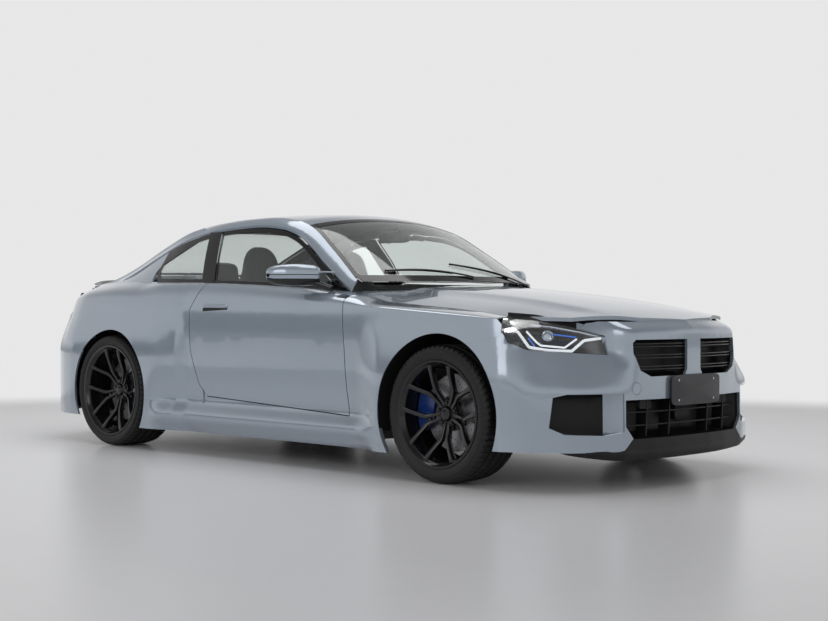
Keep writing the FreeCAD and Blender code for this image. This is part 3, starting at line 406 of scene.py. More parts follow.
# Studio, in metres: a pale floor that fades into a white room, two soft lamps and a soft world
studio = {"floorSize": 60.0, "floorGrey": 0.83, "floorRough": 0.28, "fadeCentre": (1.9, -1.9, 0),
          "fade": (6.9, 8.6), "wall": (0.80, 0.80, 0.80, 1), "doorBearing": -2.42, "doorWidth": (0.20, 0.26),
          "doorHeight": (0.10, 0.16), "doorColor": (0.16, 0.17, 0.19, 1),
          "skyLow": (0.40, (0.10, 0.10, 0.105, 1)), "skyTop": (1.0, (0.16, 0.16, 0.165, 1)),
          "sky": ((0.50, 0.36), (0.545, 0.80), (0.66, 0.70), (0.78, 0.30)),
          "topLamp": (0, 0, 4.6, 6.0, 3.2, 120), "sideLamp": (1.5, -7.5, 3.0, 5.0, 2.4, 60),
          "lampTarget": (0, 0, 0.5)}


def makeFloor(s):
    half, grey = s["floorSize"] / 2, s["floorGrey"]
    mesh = bpy.data.meshes.new("floor")
    corners = [(-half, -half, 0), (half, -half, 0), (half, half, 0), (-half, half, 0)]
    mesh.from_pydata(corners, [], [(0, 1, 2, 3)])
    floor = bpy.data.objects.new("floor", mesh)
    bpy.context.scene.collection.objects.link(floor)
    material = bpy.data.materials.new("studioFloor")
    material.use_nodes = True
    tree = material.node_tree
    shader = tree.nodes["Principled BSDF"]
    field = addNode(tree, "Group", {"Scale": 9}, node_tree=grainField)
    tint = mixColors(tree, field.outputs["Value"], (grey, grey, grey * 1.01, 1),
                     (grey * 1.07, grey * 1.07, grey * 1.08, 1))
    feed(tree, shader, {"Base Color": tint, "Roughness": s["floorRough"]})
    # Away from the car the floor fades into the wall
    place = addNode(tree, "TexCoord", {}).outputs["Object"]
    distance = addNode(tree, "VectorMath", {0: place, 1: s["fadeCentre"]}, operation="DISTANCE")
    share = ranged(tree, distance.outputs["Value"], s["fade"], (0, 1), "SMOOTHSTEP")
    wall = addNode(tree, "Emission", {"Color": s["wall"]})
    mixed = addNode(tree, "MixShader", {0: share, 1: shader.outputs[0], 2: wall.outputs[0]})
    feed(tree, tree.nodes["Material Output"], {"Surface": mixed.outputs[0]})
    mesh.materials.append(material)


def makeWorld(s):
    world = bpy.data.worlds.new("studio")
    bpy.context.scene.world = world
    world.use_nodes = True
    tree = world.node_tree
    place = addNode(tree, "TexCoord", {}).outputs["Generated"]
    split = addNode(tree, "SeparateXYZ", {0: place}).outputs
    shades = addNode(tree, "ValToRGB", {"Fac": ranged(tree, split["Z"], (-1, 1), (0, 1))})
    stops = shades.color_ramp.elements
    stops[0].position, stops[0].color = s["skyLow"]
    stops[1].position, stops[1].color = s["skyTop"]
    for position, grey in s["sky"]:
        stops.new(position).color = (grey, grey, grey * 1.01, 1)
    # A darker doorway behind the photographer: soft-edged, in one bearing and near the horizon
    bearing = maths(tree, "ARCTAN2", split["Y"], split["X"])
    spread = maths(tree, "ABSOLUTE", maths(tree, "SUBTRACT", bearing, s["doorBearing"]))
    wide = ranged(tree, spread, s["doorWidth"], (1, 0), "SMOOTHSTEP")
    tall = ranged(tree, split["Z"], s["doorHeight"], (1, 0), "SMOOTHSTEP")
    shaded = mixColors(tree, maths(tree, "MULTIPLY", wide, tall), shades.outputs["Color"], s["doorColor"])
    # The camera, also through glass, sees a plain white wall instead
    ray = addNode(tree, "LightPath", {}).outputs
    seen = maths(tree, "MAXIMUM", ray["Is Camera Ray"], ray["Is Transmission Ray"])
    feed(tree, tree.nodes["Background"], {"Color": mixColors(tree, seen, shaded, s["wall"])})


def makeLamp(name, target):
    x, y, z, width, depth, watts = studio[name]
    lamp = bpy.data.objects.new(name, bpy.data.lights.new(name, "AREA"))
    lamp.data.shape = "RECTANGLE"
    lamp.data.size, lamp.data.size_y, lamp.data.energy = width, depth, watts
    lamp.location = (x, y, z)
    lamp.rotation_mode = "QUATERNION"
    lamp.rotation_quaternion = (Vector((x, y, z)) - Vector(target)).to_track_quat("Z", "Y")
    lamp.visible_camera = False
    bpy.context.scene.collection.objects.link(lamp)


makeFloor(studio)
makeWorld(studio)
for lampName in ("topLamp", "sideLamp"):
    makeLamp(lampName, studio["lampTarget"])
bpy.context.scene.view_settings.view_transform = "Standard"
print("studio ready")


# Wheels: tyre with tread, forked rim, bolts, and dark rounds painted on the disc as the shade inside its
# drilled holes
wheels = {"frontAxle": 1435, "rearAxle": -1312, "frontTrack": 795, "rearTrack": 790, "frontTyre": 337.5,
          "rearTyre": 339.5, "frontWidth": 275, "rearWidth": 285, "frontRim": 254, "rearRim": 267,
          "forks": 5, "forkSpread": 21.5, "forkTurn": 270, "padFace": 56, "boltCircle": 54,
          "pitches": 64, "stepsPerPitch": 5, "grooveDepth": 8.5, "cutDepth": 6.5,
          "holeRings": (130, 143, 156, 169, 181), "holesPerRing": 20, "holeRadius": 3.2, "ringTurn": 0.11}


def tyreForm(centre, side, radius, width, rim):
    # Radius over (angle, across): a crowned tread with four straight grooves and slanted shoulder cuts
    half = width / 2
    grooves = np.array([-74, -27, 27, 74])
    edges = (grooves[:, None] + np.array([-6.5, -5, 5, 6.5])).ravel()
    tread = np.sort(np.concatenate([edges, [-half + 26, -half + 34, -half + 44, 0, half - 44, half - 34,
                                            half - 26, -50, 50, -96, 96, -88, 88]]))
    inGroove = np.min(np.abs(tread[:, None] - grooves), axis=1) < 5.6
    crown = 9 * (np.abs(tread) / half) ** 4
    wall = np.array([(rim - 13.7, 26), (rim - 4, 17), (rim + 6, 12), (rim + 12, 8.5), (rim + 22, 3),
                     (rim + 36, 0), (rim + 50, 1), (radius - 30, 4), (radius - 20, 7.5), (radius - 12, 13),
                     (radius - 7.5, 19)])
    face = np.stack([radius - crown - wheels["grooveDepth"] * inGroove, tread], -1)
    profile = np.concatenate([wall * (1, 1) + (0, -half), face, wall[::-1] * (1, -1) + (0, half)])
    away = np.abs(profile[:, 1])
    step = np.arange(wheels["pitches"] * wheels["stepsPerPitch"])
    slanted = step[:, None] + np.round(away / 16).astype(int)[None]
    shoulder = (away > 84) & (profile[:, 0] > radius - 22)
    middle = (away < 60) & (away > 34)
    cut = ((slanted % 5 == 0) & shoulder[None]) | ((slanted % 10 == 0) & middle[None])
    return turned(profile[None, :, 0] - wheels["cutDepth"] * cut, profile[:, 1], centre, side)


def prongForms(centre, side, lip, lipY):
    # Each fork has two arms: parallel stems to the crotch, then straight lines apart to the rim
    section = np.array([(-0.6, 1), (0, 1), (0.6, 1), (0.74, 0.95), (0.97, 0.6), (1, 0.45), (0.94, -0.3),
                        (0.8, -1), (0, -1), (-0.8, -1), (-0.94, -0.3), (-1, 0.45), (-0.97, 0.6),
                        (-0.74, 0.95)])
    pad, spread = wheels["padFace"], math.radians(wheels["forkSpread"])
    axis = np.array([0, side, 0.0])
    forms = []
    for fork in range(wheels["forks"]):
        middle = math.radians(wheels["forkTurn"] + 360 / wheels["forks"] * fork)
        out = np.array([math.cos(middle), 0, math.sin(middle)])
        wide = np.array([-math.sin(middle), 0, math.cos(middle)])
        for hand in (1, -1):
            end = ((lip - 8) * math.cos(spread), (lip - 8) * hand * math.sin(spread))
            stem = [(r, hand * half) for r, half in ((40, 11), (80, 14.5), (116, 18), (128, 21))]
            flat = resampled(stem + [end], 25)
            r = np.hypot(flat[:, 0], flat[:, 1])
            half = straight([(40, 10), (100, 9.5), (128, 12.5), (190, 11.5), (lip - 8, 15)], r)
            face = pad + 2 + (lipY + 3 - pad) * ease(30, lip + 14, r) * 1.02
            deep = straight([(40, 15), (130, 14), (lip, 17)], r)
            path = flat[:, :1] * out + flat[:, 1:] * wide + (face - deep)[:, None] * axis + centre
            across = unit(np.cross(np.gradient(path, axis=0), axis))
            forms.append(tube(path[:, None] + across[:, None] * (section[:, 0] * half[:, None])[..., None]
                              + (section[:, 1] * deep[:, None])[..., None] * axis))
        web = np.stack([out * 117 + wide * w for w in (-22, 0, 22)]) + centre + axis * (pad - 8.0)
        forms.append(rod(web, axis, 8, 9, 12, 5))
    return forms


def hubForms(centre, side):
    face = wheels["padFace"]
    profile = [(0.5, face + 13), (24, face + 13), (29, face + 11.5), (31, face + 8), (33, face + 3),
               (38, face - 3), (66, face - 4), (71, face - 1), (74, face - 6), (74, 22.3), (0.5, 22.3)]
    bolt = [(0.3, face + 7), (7.5, face + 7), (9, face + 5), (9, face - 5), (0.3, face - 5)]
    forms = [revolved(profile, centre, side, 80)]
    for k in range(wheels["forks"]):
        a = math.radians(wheels["forkTurn"] + 36 + 72 * k)
        place = centre + np.array([math.cos(a), 0, math.sin(a)]) * wheels["boltCircle"]
        forms.append(revolved(bolt, place, side, 12))
    return forms


def barrelForm(centre, side, half, lip):
    profile = [(lip + 8, half - 6.5), (lip + 8.5, half - 9), (lip, half - 17), (lip - 13, half - 23),
               (lip - 14, half - 40), (lip - 14, 40 - half), (lip - 13, 22 - half), (lip, 16 - half),
               (lip, 8 - half), (lip - 7, 8 - half), (lip - 20, 20 - half), (lip - 22, 30 - half),
               (lip - 22, half - 34), (lip - 19, half - 26), (lip - 12, half - 20), (lip - 6, half - 12),
               (lip - 2, half - 7)]
    return revolved(profile, centre, side, 144)


def holeShadeForms(centre, side):
    # Flat dark rounds painted on the disc's face as the shade inside its drilled holes, each ring turned a
    # little from the last
    ring, forms = circle(8), []
    for k, radius in enumerate(wheels["holeRings"]):
        for a in circle(wheels["holesPerRing"]) + wheels["ringTurn"] * k:
            spot = centre + np.array([math.cos(a), 0, math.sin(a)]) * radius
            disc = at(np.cos(ring), 0, np.sin(ring)) * wheels["holeRadius"] + spot
            forms.append(tube(np.stack([disc + (0, side * -8.5, 0), disc + (0, side * -7.8, 0)])))
    return forms


for axle in ("front", "rear"):
    for hand, side in (("left", 1), ("right", -1)):
        radius, width, rim = (wheels[axle + part] for part in ("Tyre", "Width", "Rim"))
        centre = np.array([wheels[axle + "Axle"], side * wheels[axle + "Track"], radius], float)
        where, body = axle + "_" + hand, "wheel_" + axle + "_" + hand
        addPiece("tyreTread_" + where, [tyreForm(centre, side, radius, width, rim)], "tyreRubber", body,
                 replaces=["tyre_" + where], sharp=28)
        forms = prongForms(centre, side, rim, width / 2 - 24) + hubForms(centre, side)
        addPiece("forkedRim_" + where, forms + [barrelForm(centre, side, width / 2, rim)], "wheelBlack", body,
                 replaces=["rim_" + where], sharp=30)
        addPiece("discHoleShade_" + where, holeShadeForms(centre, side), "shadeAndSeamBlack", body)
print("wheels done")

# Body lines: half widths (y) and heights (z) along the car (x), as the CAD part has them
bodyLines = {
    "waist": [(1950, 822), (1880, 866), (1820, 888), (1600, 893), (1000, 893), (300, 892), (-200, 894),
              (-600, 895), (-1000, 893), (-1400, 888), (-1676, 888), (-1800, 872), (-1900, 840),
              (-2000, 785)],
    "section": [(120, -34), (160, -14), (200, 16), (240, 14), (290, -12), (330, -16), (420, -6), (540, 0),
                (700, 0), (790, -4), (860, -12), (920, -30)],
    "archSection": [(120, -12), (300, -2), (540, 0), (700, 0), (790, -4), (860, -12), (920, -30)],
    "frontFade": [(1060, 30), (1600, 34), (1750, 44), (1820, 58), (1880, 82), (1950, 112)],
    "rearFade": [(-2000, 105), (-1900, 92), (-1800, 72), (-1600, 52), (-1200, 40), (-700, 40)],
    "edgeY": [(2000, 800), (1778, 790), (1605, 780), (1357, 765), (1101, 755), (925, 747), (740, 745),
              (620, 762), (300, 792), (-200, 805), (-445, 804), (-800, 792), (-1071, 765), (-1400, 712),
              (-1700, 672), (-2000, 610)],
    "edgeZ": [(2000, 785), (1778, 811), (1605, 832), (1357, 852), (1101, 869), (925, 883), (740, 925),
              (620, 938), (300, 960), (-200, 983), (-445, 991), (-800, 997), (-1071, 1003), (-1400, 1012),
              (-1700, 1002), (-2000, 960)],
    "cornerY": [(735, 752), (661, 738), (400, 684), (120, 626), (-249, 602), (-600, 598), (-900, 590),
                (-1200, 590), (-1500, 594), (-1750, 596), (-1980, 598)],
    "cornerZ": [(735, 930), (661, 972), (400, 1138), (120, 1304), (-20, 1345), (-249, 1366), (-600, 1352),
                (-900, 1312), (-1200, 1215), (-1500, 1095), (-1750, 1020), (-1980, 984)],
    "roofZ": [(960, 985), (700, 1118), (420, 1262), (180, 1366), (40, 1395), (-150, 1403), (-400, 1400),
              (-700, 1380), (-950, 1337), (-1300, 1206), (-1650, 1062), (-1800, 1030), (-2150, 1000)],
    "roofDrop": [(960, 172), (661, 156), (400, 118), (120, 70), (-249, 37), (-600, 36), (-900, 28),
                 (-1500, 26), (-1750, 16), (-1980, 28)],
    "railWidth": [(735, 14), (655, 27), (400, 38), (120, 40), (-600, 42), (-1000, 52), (-1720, 60)],
}
noseLevels = [128, 200, 460, 560, 650, 740, 805]
noseWidths = [0, 150, 300, 430, 500, 620, 740, 815]
noseRows = [[2262, 2261, 2250, 2232, 2222, 2178, 2105, 2015],
            [2285, 2284, 2272, 2252, 2243, 2195, 2125, 2035],
            [2287, 2286, 2273, 2252, 2240, 2195, 2122, 2030],
            [2290, 2288, 2273, 2250, 2215, 2150, 2070, 1978],
            [2290, 2288, 2271, 2245, 2140, 2090, 2010, 1930],
            [2288, 2284, 2265, 2235, 2122, 2065, 1950, 1870],
            [2232, 2214, 2182, 2128, 2095, 2030, 1880, 1800]]
tailLevels = [160, 300, 600, 700, 780, 894, 1000]
tailWidths = [0, 250, 480, 640]
tailRows = [[-2225, -2205, -2160, -2085], [-2285, -2268, -2225, -2150], [-2290, -2275, -2240, -2170],
            [-2262, -2248, -2205, -2125], [-2222, -2206, -2152, -2060], [-2188, -2170, -2112, -2012],
            [-2160, -2135, -2060, -1950]]
# The shoulders swell out by this much over these stretches of the car (x), and fade with the height (z)
swells = {"out": 50, "frontArch": (880, 1040), "rearArch": (-920, -760), "front": (820, 1070),
          "frontHeight": (500, 840), "rear": (-920, -680), "rearHeight": (560, 900)}


def bodyLine(name, x):
    return lineAt(bodyLines[name], x)


def noseX(y, z):
    return surfaceX(noseLevels, noseWidths, noseRows, y, z)


def tailX(y, z):
    return surfaceX(tailLevels, tailWidths, tailRows, y, z)


def sideY(x, z):
    # Plan line plus section offset, less the tuck of the shoulders ahead of and behind the doors
    arch = np.maximum(ease(*swells["frontArch"], x), 1 - ease(*swells["rearArch"], x))
    section = (1 - arch) * bodyLine("section", z) + arch * bodyLine("archSection", z)
    fade = bodyLine("frontFade", x) * ease(*swells["frontHeight"], z)
    front = ease(*swells["front"], x) * (swells["out"] - fade)
    start = -640 - 30 * ease(700, 840, z)
    swell = 0.5 * (1 - ease(start - 60, start, x)) + 0.5 * (1 - ease(*swells["rear"], x))
    fade = bodyLine("rearFade", x) * ease(*swells["rearHeight"], z)
    return bodyLine("waist", x) + section + front + swell * (swells["out"] - fade)


def houseAt(x, v):
    # Quadratic curve from the belt edge to the roof corner, bulging 16 out and 6 up at its middle point
    low = np.stack([bodyLine("edgeY", x) - 14, bodyLine("edgeZ", x) - 8])
    high = np.stack([bodyLine("cornerY", x), bodyLine("cornerZ", x)])
    middle = 0.5 * (low + high) + np.array([16, 6]).reshape((2,) + (1,) * (low.ndim - 1))
    return low * (1 - v) ** 2 + 2 * middle * v * (1 - v) + high * v * v


def houseOut(x, z, out):
    # The height gives the share along the curve; the point then moves out along the curve's normal
    rise = bodyLine("cornerZ", x) - bodyLine("edgeZ", x) + 8
    lift = np.clip(z - bodyLine("edgeZ", x) + 8, 0, rise)
    b = rise + 12
    v = (b - np.sqrt(np.maximum(b * b - 48 * lift, 0))) / 24
    here, further = houseAt(x, v), houseAt(x, v + 0.01)
    slope = unit(np.moveaxis(further - here, 0, -1))
    return at(x, here[0] + slope[..., 1] * out, here[1] - slope[..., 0] * out)


def railFoot(x):
    # Where the roof rail begins on the side of the greenhouse, as (y, z)
    rise = bodyLine("cornerZ", x) - bodyLine("edgeZ", x)
    return houseAt(x, np.maximum(0, 1 - bodyLine("railWidth", x) / rise))


def roofEdge(x):
    return bodyLine("cornerY", x) - bodyLine("railWidth", x)


def topZ(x, y):
    share = np.abs(y) / bodyLine("cornerY", np.minimum(x, 661))
    return bodyLine("roofZ", x) - bodyLine("roofDrop", x) * share ** 2.2


def railAt(x, a):
    # Quadratic curve from the side of the greenhouse over the roof corner to the roof
    corner = np.stack([bodyLine("cornerY", x), bodyLine("cornerZ", x)])
    inner = roofEdge(x)
    y, z = railFoot(x) * (1 - a) ** 2 + 2 * corner * a * (1 - a) + np.stack([inner, topZ(x, inner)]) * a * a
    return at(x, y, z)


def screenFoot(y):
    return 950 - 289 * (y / 727) ** 2


# Side windows: black surrounds and pillar covers lie 2 mm outside the glass
windows = {"doorDrop": 19.6, "quarterDrop": 15.2, "topBand": 24, "beltBand": 15, "pillarWidth": 118,
           "sheet": (0, -1.6, -0.3)}


def bandForm(x, low, high, out=2.0):
    z = low[:, None] + (high - low)[:, None] * np.linspace(0, 1, 5)
    return slab(houseOut(np.broadcast_to(x[:, None], z.shape), z, out), windows["sheet"])


def slantedBand(start, end, levels, out=2.0):
    # A band across the height: its front and rear edges are lines of x over z
    x = start[:, None] + (end - start)[:, None] * np.linspace(0, 1, 6)
    return slab(houseOut(x, np.broadcast_to(levels[:, None], x.shape), out), windows["sheet"])


def doorTrimForms(w):
    x = np.linspace(628, -452, 60)
    belt = bodyLine("edgeZ", x)
    top = np.maximum(railFoot(x)[1] - w["doorDrop"], belt + 2)
    forms = [bandForm(x, belt + 0.6, np.minimum(belt + w["beltBand"], top))]
    x = np.linspace(598, -556, 60)
    top = railFoot(x)[1] - w["doorDrop"]
    forms.append(bandForm(x, np.maximum(top - w["topBand"], bodyLine("edgeZ", x) + 15), top))
    x = np.linspace(628, 505, 14)
    top, belt = railFoot(x)[1] - w["doorDrop"], bodyLine("edgeZ", x)
    forms.append(bandForm(x, belt + 0.6, np.maximum(top, belt + 3), 2.3))
    z = np.linspace(bodyLine("edgeZ", -446) + 2, railFoot(-556)[1] - w["doorDrop"] - 2, 20)
    split = straight([(991, -447), (1302, -560)], z)
    return forms + [slantedBand(split, split + 9, z, 2.2)]


def quarterTrimForms(w):
    x = np.linspace(-476, -1062, 40)
    belt = bodyLine("edgeZ", x)
    forms = [bandForm(x, belt + 1.2, belt + 20)]
    x = np.linspace(-588, -1090, 40)
    top = railFoot(x)[1] - w["quarterDrop"]
    slant = straight([(588, top[0] - w["topBand"]), (800, 1236), (1110, 1088)], -x)
    forms.append(bandForm(x, np.minimum(top - w["topBand"], slant), top))
    z = np.linspace(1005, railFoot(-1090)[1] - w["quarterDrop"] - 1, 12)
    back = straight([(1005, -1064), (1064, -1104), (1150, -1088)], z)
    forms.append(slantedBand(back, back + 34, z, 2.2))
    z = np.linspace(1004, railFoot(-590)[1] - w["quarterDrop"] - 1, 20)
    split = straight([(1003, -462), (1302, -580)], z)
    return forms + [slantedBand(split, split - w["pillarWidth"], z, 2.4)]


for hand in ("left", "right"):
    addPiece("doorWindowTrim_" + hand, onSide(hand, doorTrimForms(windows)), "pianoBlack", "door_" + hand)
addPiece("quarterWindowTrim", bothSides(quarterTrimForms(windows)), "pianoBlack")


# Roof: black borders printed round both screens, headliner and dark linings along the rails
def sheetOnTop(x, y, lift, thick=0.9):
    return slab(at(x, y, topZ(x, y) + lift), (0, 0, -thick))


def sideBorder(start, end, gap, width):
    x, t = grid((start, end, 40), (0, 1, 5))
    return bothSides([sheetOnTop(x, roofEdge(x) - gap - width * t, 1.7)])


def screenBorderForms():
    t, s = grid((0, 1, 6), (-1, 1, 41))
    forms = [sheetOnTop(180 - 37 * (560 * s / 575) ** 2 + 2 + 46 * t, 560 * s, 1.4),
             sheetOnTop(screenFoot(690 * s) - 3 - 62 * t, 690 * s, 1.4)]
    forms += sideBorder(640, 150, 1, 26) + sideBorder(-940, -1636, 1.5, 30)
    t, s = grid((0, 1, 5), (-1, 1, 31))
    return forms + [sheetOnTop(-938 - 34 * t, 525 * s, 1.4), sheetOnTop(-1640 + 40 * t, 525 * s, 1.4)]


def headlinerForms():
    x, s = grid((140, -925, 50), (-1, 1, 31))
    forms = [sheetOnTop(x, (roofEdge(x) - 6) * s, -22, 9)]
    x, a = grid((632, -1500, 80), (0.4, 1, 7))
    return forms + bothSides([slab(railAt(x, a) + (0, -4, -17), (0, -1, -5))])


addPiece("screenBorders", screenBorderForms(), "pianoBlack")
addPiece("headliner", headlinerForms(), "mouldedPlastic")


# Headlamps: clear shell, dark bowl, two angular light guides, projector and blue accents, placed by
# (bearing in degrees from the lamp centre, height)
lamp = {"centreX": 1500, "bearings": (38.8, 71.0), "levels": np.linspace(600, 815, 12),
        "low": [(38.8, 634), (51.9, 646), (63.1, 659), (69.0, 691), (71.0, 742)],
        "high": [(38.8, 721), (50.0, 764), (62.0, 795), (71.0, 806)],
        "outer": [(69.1, 746), (66.7, 745), (62.9, 670), (57.5, 656), (50.1, 652), (46.0, 701), (39.8, 711)],
        "inner": [(64.4, 744), (60.9, 692), (59.6, 678), (52.3, 668), (48.4, 708)],
        "brow": [(63.0, 774), (57.0, 764), (48.0, 741), (41.0, 719)],
        "blueHigh": [(56.0, 730), (48.5, 716)], "blueLow": [(63.6, 712), (61.2, 668)],
        "projector": (58.0, 722), "facing": (0.62, 0.78, 0)}
# Depth behind the nose surface, half width and half depth of each light guide
guides = {"outer": (20, 6.5, 4), "inner": (30, 4.5, 3.5), "brow": (13, 5, 4), "blueHigh": (34, 3.5, 3),
          "blueLow": (34, 3, 3)}


def noseRadius(angles, z):
    # One smooth plan ring per height; the ring's distance from the lamp centre is read off at each bearing
    columns = zip(zip(*noseRows), noseWidths)
    front = [(float(lineAt(list(zip(noseLevels, column)), z)), y) for column, y in columns]
    side = [(x, float(sideY(x, z))) for x in (1880, 1830, 1780, 1720, 1660, 1600) if x < front[-1][0] - 25]
    ring = resampled(front + side, 240, True) - (lamp["centreX"], 0)
    return np.interp(angles, np.degrees(np.arctan2(ring[:, 1], ring[:, 0])), np.hypot(ring[:, 0], ring[:, 1]))


def lampPoint(angle, z, inward=0.0):
    # The nose surface at a bearing and height, moved towards the lamp centre by inward
    angle, z, inward = np.broadcast_arrays(*(np.asarray(v, float) for v in (angle, z, inward)))
    flat, levels = angle.ravel(), lamp["levels"]
    table = np.stack([noseRadius(flat, level) for level in levels])
    height = np.clip(z.ravel(), levels[0], levels[-1])
    k = np.clip(np.searchsorted(levels, height) - 1, 0, len(levels) - 2)
    t = (height - levels[k]) / (levels[k + 1] - levels[k])
    n = np.arange(flat.size)
    r = (table[k, n] * (1 - t) + table[k + 1, n] * t).reshape(z.shape) - inward
    return at(lamp["centreX"] + r * np.cos(np.radians(angle)), r * np.sin(np.radians(angle)), z)


def lampSheet(depth, thick, shrink=0.0):
    a, t = grid((*lamp["bearings"], 44), (-1, 1, 15))
    low, high = straight(lamp["low"], a), straight(lamp["high"], a)
    z = 0.5 * (low + high) + (0.5 * (high - low) - shrink) * t
    rim = np.maximum(np.abs(t), np.abs((a - 54.9) / 16.1)) ** 6
    points = lampPoint(a, z, depth[0] + (depth[1] - depth[0]) * (1 - rim))
    return slab(points, -unit(points.mean((0, 1)) - np.array([lamp["centreX"], 0, 710])) * thick)


def guideForm(name):
    inward, halfWidth, halfDepth = guides[name]
    a, z = resampled(lamp[name], 60).T
    points = lampPoint(a, z, inward)
    return rod(points, unit(points - (lamp["centreX"], 0, 0) - at(0, 0, z)), halfWidth, halfDepth)


def projectorForm(inward, radius, bulge):
    centre = lampPoint(*lamp["projector"], inward)
    forward = np.array(lamp["facing"])
    across, up = np.cross((0, 0, 1), forward), np.array([0, 0, 1.0])
    t, s = grid((0, 1, 9), (0, 2 * math.pi * 31 / 32, 32))
    r = radius * np.sqrt(np.maximum(1 - (0.96 * t) ** 2, 0))
    ring = r[..., None] * (np.cos(s)[..., None] * across + np.sin(s)[..., None] * up)
    return tube(centre + ring + (bulge * t)[..., None] * forward)


def browForm(start, end, inward):
    # A strip from the lamp's upper edge up towards the bonnet, set back a little from the nose surface
    a, t = grid((start, end, 24), (0, 1, 5))
    return slab(lampPoint(a, straight(lamp["high"], a) - 3 + 30 * t, inward + 4 * t), (-2, -2, 0))


addPiece("lampBrowPaint", bothSides([browForm(40.5, 48.5, 4.0)]), "bluePaint")
addPiece("lampBrowTrim", bothSides([browForm(48.5, 70.5, 7.0)]), "satinBlack")
addPiece("headlampShells", bothSides([lampSheet((0.4, 0.4), 3, 1.0)]), "clearLens",
         replaces=["headlamp_left", "headlamp_right"])
addPiece("headlampBowls", bothSides([lampSheet((7, 78), 3)]), "pianoBlack")
addPiece("headlampGuides", bothSides([guideForm("outer"), guideForm("inner")]), "lampWhite")
addPiece("headlampBrows", bothSides([guideForm("brow"), projectorForm(64, 29, 6)]), "lampReflector")
addPiece("headlampLenses", bothSides([projectorForm(58, 22, 20)]), "clearLens")
addPiece("headlampAccents", bothSides([guideForm("blueHigh"), guideForm("blueLow")]), "lampBlue")


# Nose: dark bowls behind every opening, painted duct walls, slats and fins, radar box, splitter, blank plate
nose = {"slatLevels": (564, 578, 618, 632, 671, 685),
        "slatEnds": [(530, 334), (560, 406), (640, 444), (705, 428)],
        "finsAt": (-330, -165, 165, 330), "barLevels": (300, 362), "ductDepth": 92, "splitterHalf": 690,
        "splitter": [(-150, 190), (-60, 190), (2, 189), (6, 172), (1, 156), (-10, 142), (-40, 132),
                     (-150, 134)],
        "screwsAt": [(2306, y, z) for y in (-150, 150) for z in (412, 508)], "towCover": (-425, 476, 29)}
# Bowls: range of y, range of z, depth and points a side, all set back behind the nose by the lip
bowls = {"lip": 15, "kidney": ((46, 446), (522, 716), 78, 17), "side": ((498, 822), (204, 466), 105, 17),
         "lower": ((-508, 508), (232, 432), 120, 33)}
# Plates: place (x, y, z), half width, half height, thickness and the power of the rounded corners
plates = {"radar": (2222, 0, 352, 62, 44, 30, 6), "sensorRight": (2236, -330, 398, 46, 22, 24, 6),
          "sensorLeft": (2236, 330, 398, 46, 22, 24, 6), "plate": (2304, 0, 460, 208, 73, 5, 9),
          "holder": (2299, 0, 460, 196, 64, 12, 9)}


def bowlForm(name):
    y, z, depth, columns = bowls[name]
    u, w = grid((-1, 1, columns), (-1, 1, columns))
    yy = 0.5 * (y[0] + y[1]) + 0.5 * (y[1] - y[0]) * u
    zz = 0.5 * (z[0] + z[1]) + 0.5 * (z[1] - z[0]) * w
    x = noseX(yy, zz) - bowls["lip"] - depth * (1 - np.maximum(np.abs(u), np.abs(w)) ** 8)
    return slab(at(x, yy, zz), (-3, 0, 0))


def ductForms():
    t, z = grid((0, 1, 12), (215, 456, 12))
    wall = at(noseX(507, z) - 4 - nose["ductDepth"] * t, 507 + 34 * t ** 1.4, z)
    t, y = grid((0, 1, 12), (508, 812, 16))
    low = straight([(505, 214.5), (620, 221), (815, 264)], y) + 30 * t
    floor = at(noseX(y, low) - 4 - nose["ductDepth"] * t, y, low)
    return [slab(wall, (0, -2.5, 0)), slab(floor, (0, 0, -2.5))]


def plateForm(name):
    x, y, z, halfWidth, halfHeight, thick, power = plates[name]
    ring = roundedBar(halfWidth, halfHeight, 56, power)
    face = at(x, y + ring[:, 0], z + ring[:, 1])
    small = at(x, y + ring[:, 0] * 0.985, z + ring[:, 1] * 0.96)
    return tube(np.stack([face - (thick, 0, 0), face - (1, 0, 0), small]))


def finForms():
    forms = []
    for y in nose["finsAt"]:
        t, w = grid((0, 1, 8), (0, 1, 4))
        z = 246 + 170 * t
        forms.append(slab(at(noseX(y, z) - 30 - 60 * w, y + 10 * t, z), (0, 7, 0)))
    for z in nose["barLevels"]:
        y = np.linspace(-470, 470, 50)
        forms.append(rod(at(noseX(y, z) - 40, y, z), (0, 0, 1), 7, 4))
    return forms


def slatForms():
    forms = []
    for z in nose["slatLevels"]:
        y = np.linspace(50, straight(nose["slatEnds"], z), 24)
        forms.append(rod(at(noseX(y, z) - 24, y, z), (0, 0, 1), 11, 3.2))
    return forms


def splitterForm():
    # One section, moved along the nose line and flattened towards its ends
    section, s = np.array(nose["splitter"], float), np.linspace(-1, 1, 61)[:, None]
    y = nose["splitterHalf"] * s
    drop = (190 - section[:, 1]) * (1 - 0.7 * np.abs(s) ** 6)
    return tube(at(noseX(y, 190) + section[:, 0], y, 190 - drop))


def intakeSillForm():
    s, z = grid((-1, 1, 41), (186, 240, 7))
    y = s * straight([(186, 505), (240, 446)], z)
    return slab(at(noseX(y, z) + 2.5, y, z), (-3, 0, 0))


def screwForm(place, radius):
    turn = circle(14)
    r, x = np.array([[radius], [radius], [radius * 0.7]]), np.array([[-3], [-0.5], [0.3]])
    return tube(at(x, r * np.cos(turn), r * np.sin(turn)) + place)


def circleOnNose(y, z, radius):
    yy, zz = y + radius * np.cos(circle(48)), z + radius * np.sin(circle(48))
    path = at(noseX(yy, zz) + 0.3, yy, zz)
    return tube(alongPath(path, (1, 0, 0), roundedBar(0.9, 0.54, 8, 2), True), "loop")


